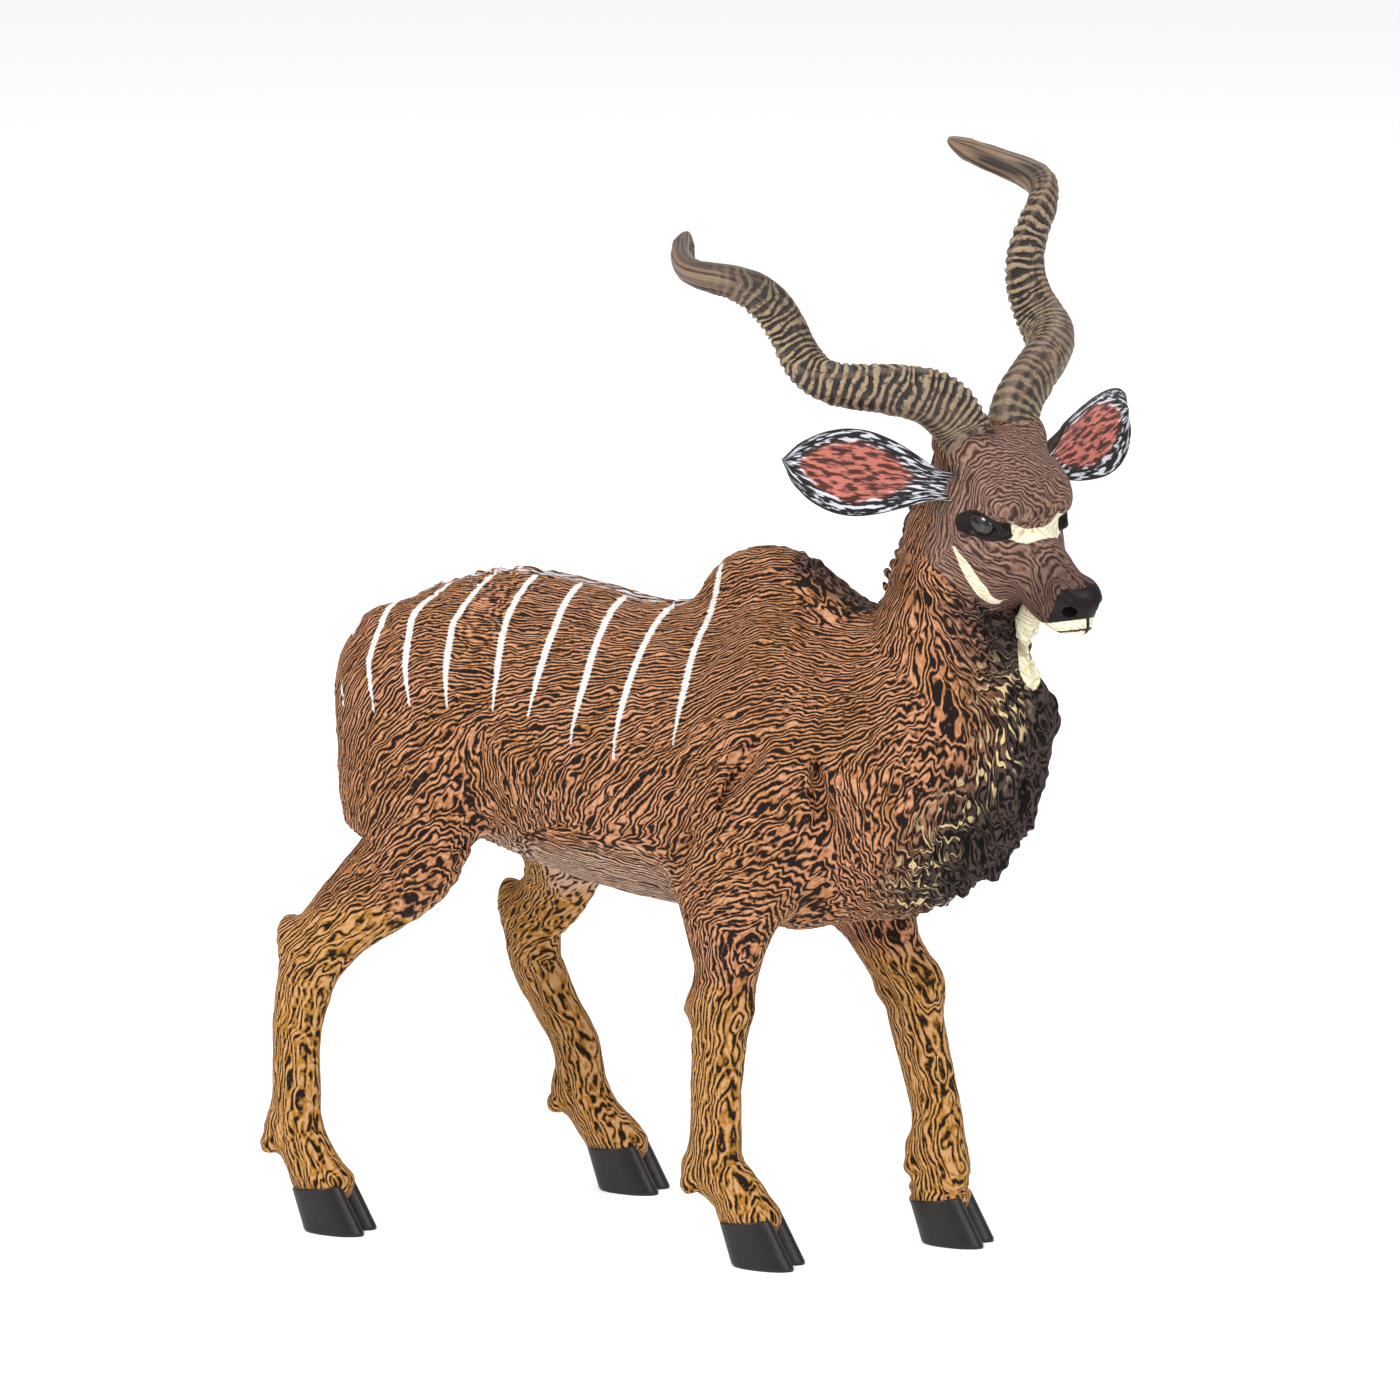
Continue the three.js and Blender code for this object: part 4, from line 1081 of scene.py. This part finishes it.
ears = {"length": 24, "wide": 6.9, "thick": 0.7, "cup": 3.0,
        "left": ((-1.3, 8.8, -4.5), 80, 14, 180), "right": ((-1.3, -8.7, -4.8), -70, 11, 0)}
earShape = [(-0.11, 2.6), (0, 2.9), (0.1, 3.2), (0.25, 4.6), (0.42, 6.1), (0.6, 6.9), (0.76, 6.3),
            (0.89, 4.5), (0.97, 2.2), (1.0, 0.35)]  # share of the length, half width


def earGrid(rows=130, around=96):  # a leaf with thickness, its edges cupped forwards
    shape = smoothRows([(s * 20, 0, 0, w) for s, w in earShape], rows)
    share, width = shape[:, 0] / 20, np.maximum(shape[:, 3], 0.15)
    angle = np.linspace(0, 2 * math.pi, around, endpoint=False)
    across = np.sign(np.cos(angle)) * np.abs(np.cos(angle)) ** 0.8
    across = across[None] * np.ones((rows, 1))
    curl = 1 + 1.5 * (1 - ramp(share, 0.0, 0.35))[:, None]
    y = width[:, None] * across * (1 - 0.12 * curl * across**2)
    x = ears["cup"] * curl * across**2 * (width[:, None] / ears["wide"]) - 1.2
    rootward = (1 + 1.4 * (1 - ramp(share, 0, 0.3)))[:, None]
    thick = ears["thick"] * (0.35 + 0.65 * np.sqrt(np.clip(1 - across**2, 0, 1))) * rootward
    inner = np.sin(angle)[None] > 0
    z = share[:, None] * ears["length"] + 0 * across
    flat = np.stack([across * width[:, None], 0 * across + 3 * inner, z], -1)
    hair = speckle(flat * (1.0, 1.0, 0.3), 0.7)
    thick = thick + 0.12 * hair * ramp(1 - np.abs(across), 0, 0.2)
    x = x + np.sign(np.sin(angle))[None] * thick * np.abs(np.sin(angle))[None] ** 0.6
    return np.stack([x, y, z], -1), {"earAcross": across, "earAlong": share[:, None] + 0 * across,
                                     "earInner": inner * np.ones_like(across)}


def earMaterial():  # pink inside an oval, streaky white round it, brown on the back
    made, tree, shader, place = newMaterial("ear_paint", 0.35)
    across, along, inner = (attribute(tree, key) for key in ("earAcross", "earAlong", "earInner"))
    leaf = node(tree, "CombineXYZ", {0: maths(tree, "MULTIPLY", across, 10.0),
                                     1: maths(tree, "MULTIPLY", along, 9.0)}).outputs[0]
    streak = noise(tree, leaf, 1.1)["Fac"]
    reach = maths(tree, "DIVIDE", maths(tree, "POWER", maths(tree, "ABSOLUTE", across), 2.0), 0.42)
    centre = maths(tree, "DIVIDE", maths(tree, "SUBTRACT", along, 0.56), 0.36)
    reach = maths(tree, "SQRT", maths(tree, "ADD", reach, maths(tree, "MULTIPLY", centre, centre)))
    reach = maths(tree, "MULTIPLY_ADD", streak, 0.5, reach)
    pink = blend(tree, edge(tree, streak, 0.42, 0.58), tint(70, 34, 30), tint(196, 112, 96))
    rim = blend(tree, edge(tree, streak, 0.50, 0.60), tint(22, 17, 18), tint(214, 216, 224))
    insideColour = blend(tree, edge(tree, reach, 1.18, 1.3), pink, rim)
    lip = edge(tree, maths(tree, "ABSOLUTE", across), 0.93, 0.98)
    insideColour = blend(tree, lip, insideColour, tint(40, 30, 30))
    outsideColour = blend(tree, edge(tree, streak, 0.4, 0.65), tint(44, 28, 24), tint(96, 68, 58))
    tipShare = edge(tree, maths(tree, "MULTIPLY_ADD", streak, 0.4, along), 0.9, 1.15)
    tip = blend(tree, edge(tree, streak, 0.5, 0.6), tint(40, 28, 28), tint(190, 190, 196))
    outsideColour = blend(tree, tipShare, outsideColour, tip)
    colour = blend(tree, inner, outsideColour, insideColour)
    dress(tree, shader, colour, 0.6, streak, 0.25)
    return made


earPaint = earMaterial()
for name in ("left", "right"):
    grid, data = earGrid()
    made = gridMesh(f"ear_{name}_paint", seated(grid, *ears[name]), data, earPaint)
    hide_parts("ear_" + name)

hoof = {"length": 9.6, "half": 2.15, "tall": 7.2, "split": 0.18, "flat": 0.86, "toeAhead": 4.9}


def clawGrid(toe, out, sign, rows=44, around=56):  # half a hoof: flat inside, sloping front, rounded sole
    up = np.linspace(0, 1, rows)[:, None]
    angle = np.linspace(0, 2 * math.pi, around, endpoint=False)[None]
    ahead, aside = np.cos(angle), np.sin(angle)
    length = hoof["length"] / 2 * (1 - 0.2 * up)
    x = toe - hoof["length"] / 2 + length * np.sign(ahead) * np.abs(ahead) ** 0.85 - 2.9 * up
    taper = 1 - 0.28 * np.clip(ahead, 0, 1) ** 2
    wide = hoof["half"] * (1 - 0.1 * up) * taper
    y = wide * np.sign(aside) * np.abs(aside) ** 0.8
    y = np.maximum(y, -hoof["half"] * hoof["flat"])
    z = up * (hoof["tall"] - 1.1 * (0.5 - 0.5 * ahead)) + 0 * ahead
    tuck = np.clip(1 - up / 0.05, 0, 1) * 0.22
    x, y = x - np.sign(ahead) * tuck * np.abs(ahead), y * (1 - tuck * 0.3)
    inner = out + sign * (hoof["split"] + y + hoof["half"] * hoof["flat"])
    return np.stack([x, inner + 0 * x, z], -1)


def hoofMaterial():  # near black with a low gloss
    made, tree, shader, place = newMaterial("hoof_gloss", 0.4)
    grain = noise(tree, place, 1.1)["Fac"]
    dress(tree, shader, blend(tree, grain, tint(13, 9, 9), tint(30, 22, 22)), 0.34, grain, 0.1, 0.5)
    return made


hoofGloss = hoofMaterial()
feet = [(f"foreleg_{name}", leg["toe"], leg["sign"] * legs["foreTrack"]) for name, leg in forelegs.items()]
feet += [(f"hindleg_{name}", leg["toe"], leg["sign"] * legs["hindTrack"]) for name, leg in hindlegs.items()]
for name, toe, out in feet:
    for label, sign in (("inner", -1), ("outer", 1)):
        grid = clawGrid(toe + hoof["toeAhead"], out, sign)
        made = gridMesh(f"{name}_claw_{label}", grid, {}, hoofGloss)
        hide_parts(name)


eyes = {"length": 2.5, "height": 1.7, "bulge": 1.35, "inset": 0.5}


def eyeGrid(sign, rows=40, around=64):  # rings of an egg, tilted with the lids
    lift = np.linspace(-1, 1, rows)[:, None] * 0.999
    angle = np.linspace(0, 2 * math.pi, around, endpoint=False)[None]
    ring = np.sqrt(1 - lift**2)
    tilt = math.radians(head["eyeTilt"])
    along, up = eyes["length"] * ring * np.cos(angle), eyes["height"] * ring * np.sin(angle)
    spots = np.stack([eyeX + along * math.cos(tilt) - up * math.sin(tilt),
                      sign * (eyeY - eyes["inset"]) + eyes["bulge"] * lift + 0 * angle,
                      eyeZ + along * math.sin(tilt) + up * math.cos(tilt)], -1)
    away = np.hypot(ring * np.cos(angle), ring * np.sin(angle)) + 0 * lift
    return fromFace(spots), {"eyeAway": away * np.ones((rows, around))}


def eyeMaterial():  # a black pupil in a dark iris, glossy
    made, tree, shader = newMaterial("eye_gloss", 0.6)[:3]
    away = attribute(tree, "eyeAway")
    iris = blend(tree, edge(tree, away, 0.42, 0.5), tint(14, 11, 12), tint(52, 40, 38))
    colour = blend(tree, edge(tree, away, 0.66, 0.74), iris, tint(20, 16, 16))
    feed(tree, shader.inputs["Base Color"], colour)
    feed(tree, shader.inputs["Roughness"], 0.16)
    return made


eyeGloss = eyeMaterial()
for name, sign in (("left", 1), ("right", -1)):
    grid, data = eyeGrid(sign)
    made = gridMesh(f"eye_{name}", grid, data, eyeGloss)
    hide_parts("head_and_neck")
print("pieces made")

room = {"half": 6, "paper": (0.93, 0.93, 0.94, 1), "rough": 0.55, "glow": 0.3, "sky": (0.97, 0.98, 1.0, 1),
        "skyLight": 0.64, "skySeen": 0.985}
floorMesh = bpy.data.meshes.new("floor")
floorCorners = [(x * room["half"], y * room["half"], 0) for x, y in ((-1, -1), (1, -1), (1, 1), (-1, 1))]
floorMesh.from_pydata(floorCorners, [], [(0, 1, 2, 3)])
floor = bpy.data.objects.new("floor", floorMesh)
bpy.context.collection.objects.link(floor)
floorPaint = bpy.data.materials.new("floor_paper")
floorPaint.use_nodes = True
floorShader = floorPaint.node_tree.nodes["Principled BSDF"]
floorShader.inputs["Base Color"].default_value = room["paper"]
floorShader.inputs["Roughness"].default_value = room["rough"]
floorShader.inputs["Emission Color"].default_value = (1, 1, 1, 1)
floorShader.inputs["Emission Strength"].default_value = room["glow"]
floorMesh.materials.append(floorPaint)
world = bpy.data.worlds.new("studio")
world.use_nodes = True
sky = world.node_tree
sky.nodes["Background"].inputs["Color"].default_value = room["sky"]
seen = node(sky, "LightPath").outputs["Is Camera Ray"]
shown = node(sky, "MapRange", {"Value": seen, "To Min": room["skyLight"], "To Max": room["skySeen"]})
sky.links.new(shown.outputs["Result"], sky.nodes["Background"].inputs["Strength"])
bpy.context.scene.world = world


def softLight(name, at, size, watts, aim=(0, 0, 0.07)):  # a square lamp turned to the object, in metres
    data = bpy.data.lights.new(name, "AREA")
    data.size = size
    data.energy = watts
    made = bpy.data.objects.new(name, data)
    made.location = at
    made.rotation_euler = (Vector(at) - Vector(aim)).to_track_quat("Z", "Y").to_euler()
    bpy.context.collection.objects.link(made)


softLight("key", (-0.25, -0.8, 1.0), 0.4, 9.4)
softLight("fill", (0.9, -0.55, 0.6), 0.6, 3.6)
softLight("rim", (0.0, 0.7, 1.1), 0.8, 4.0)
bpy.context.scene.view_settings.view_transform = "Standard"
bpy.context.scene.view_settings.look = "None"
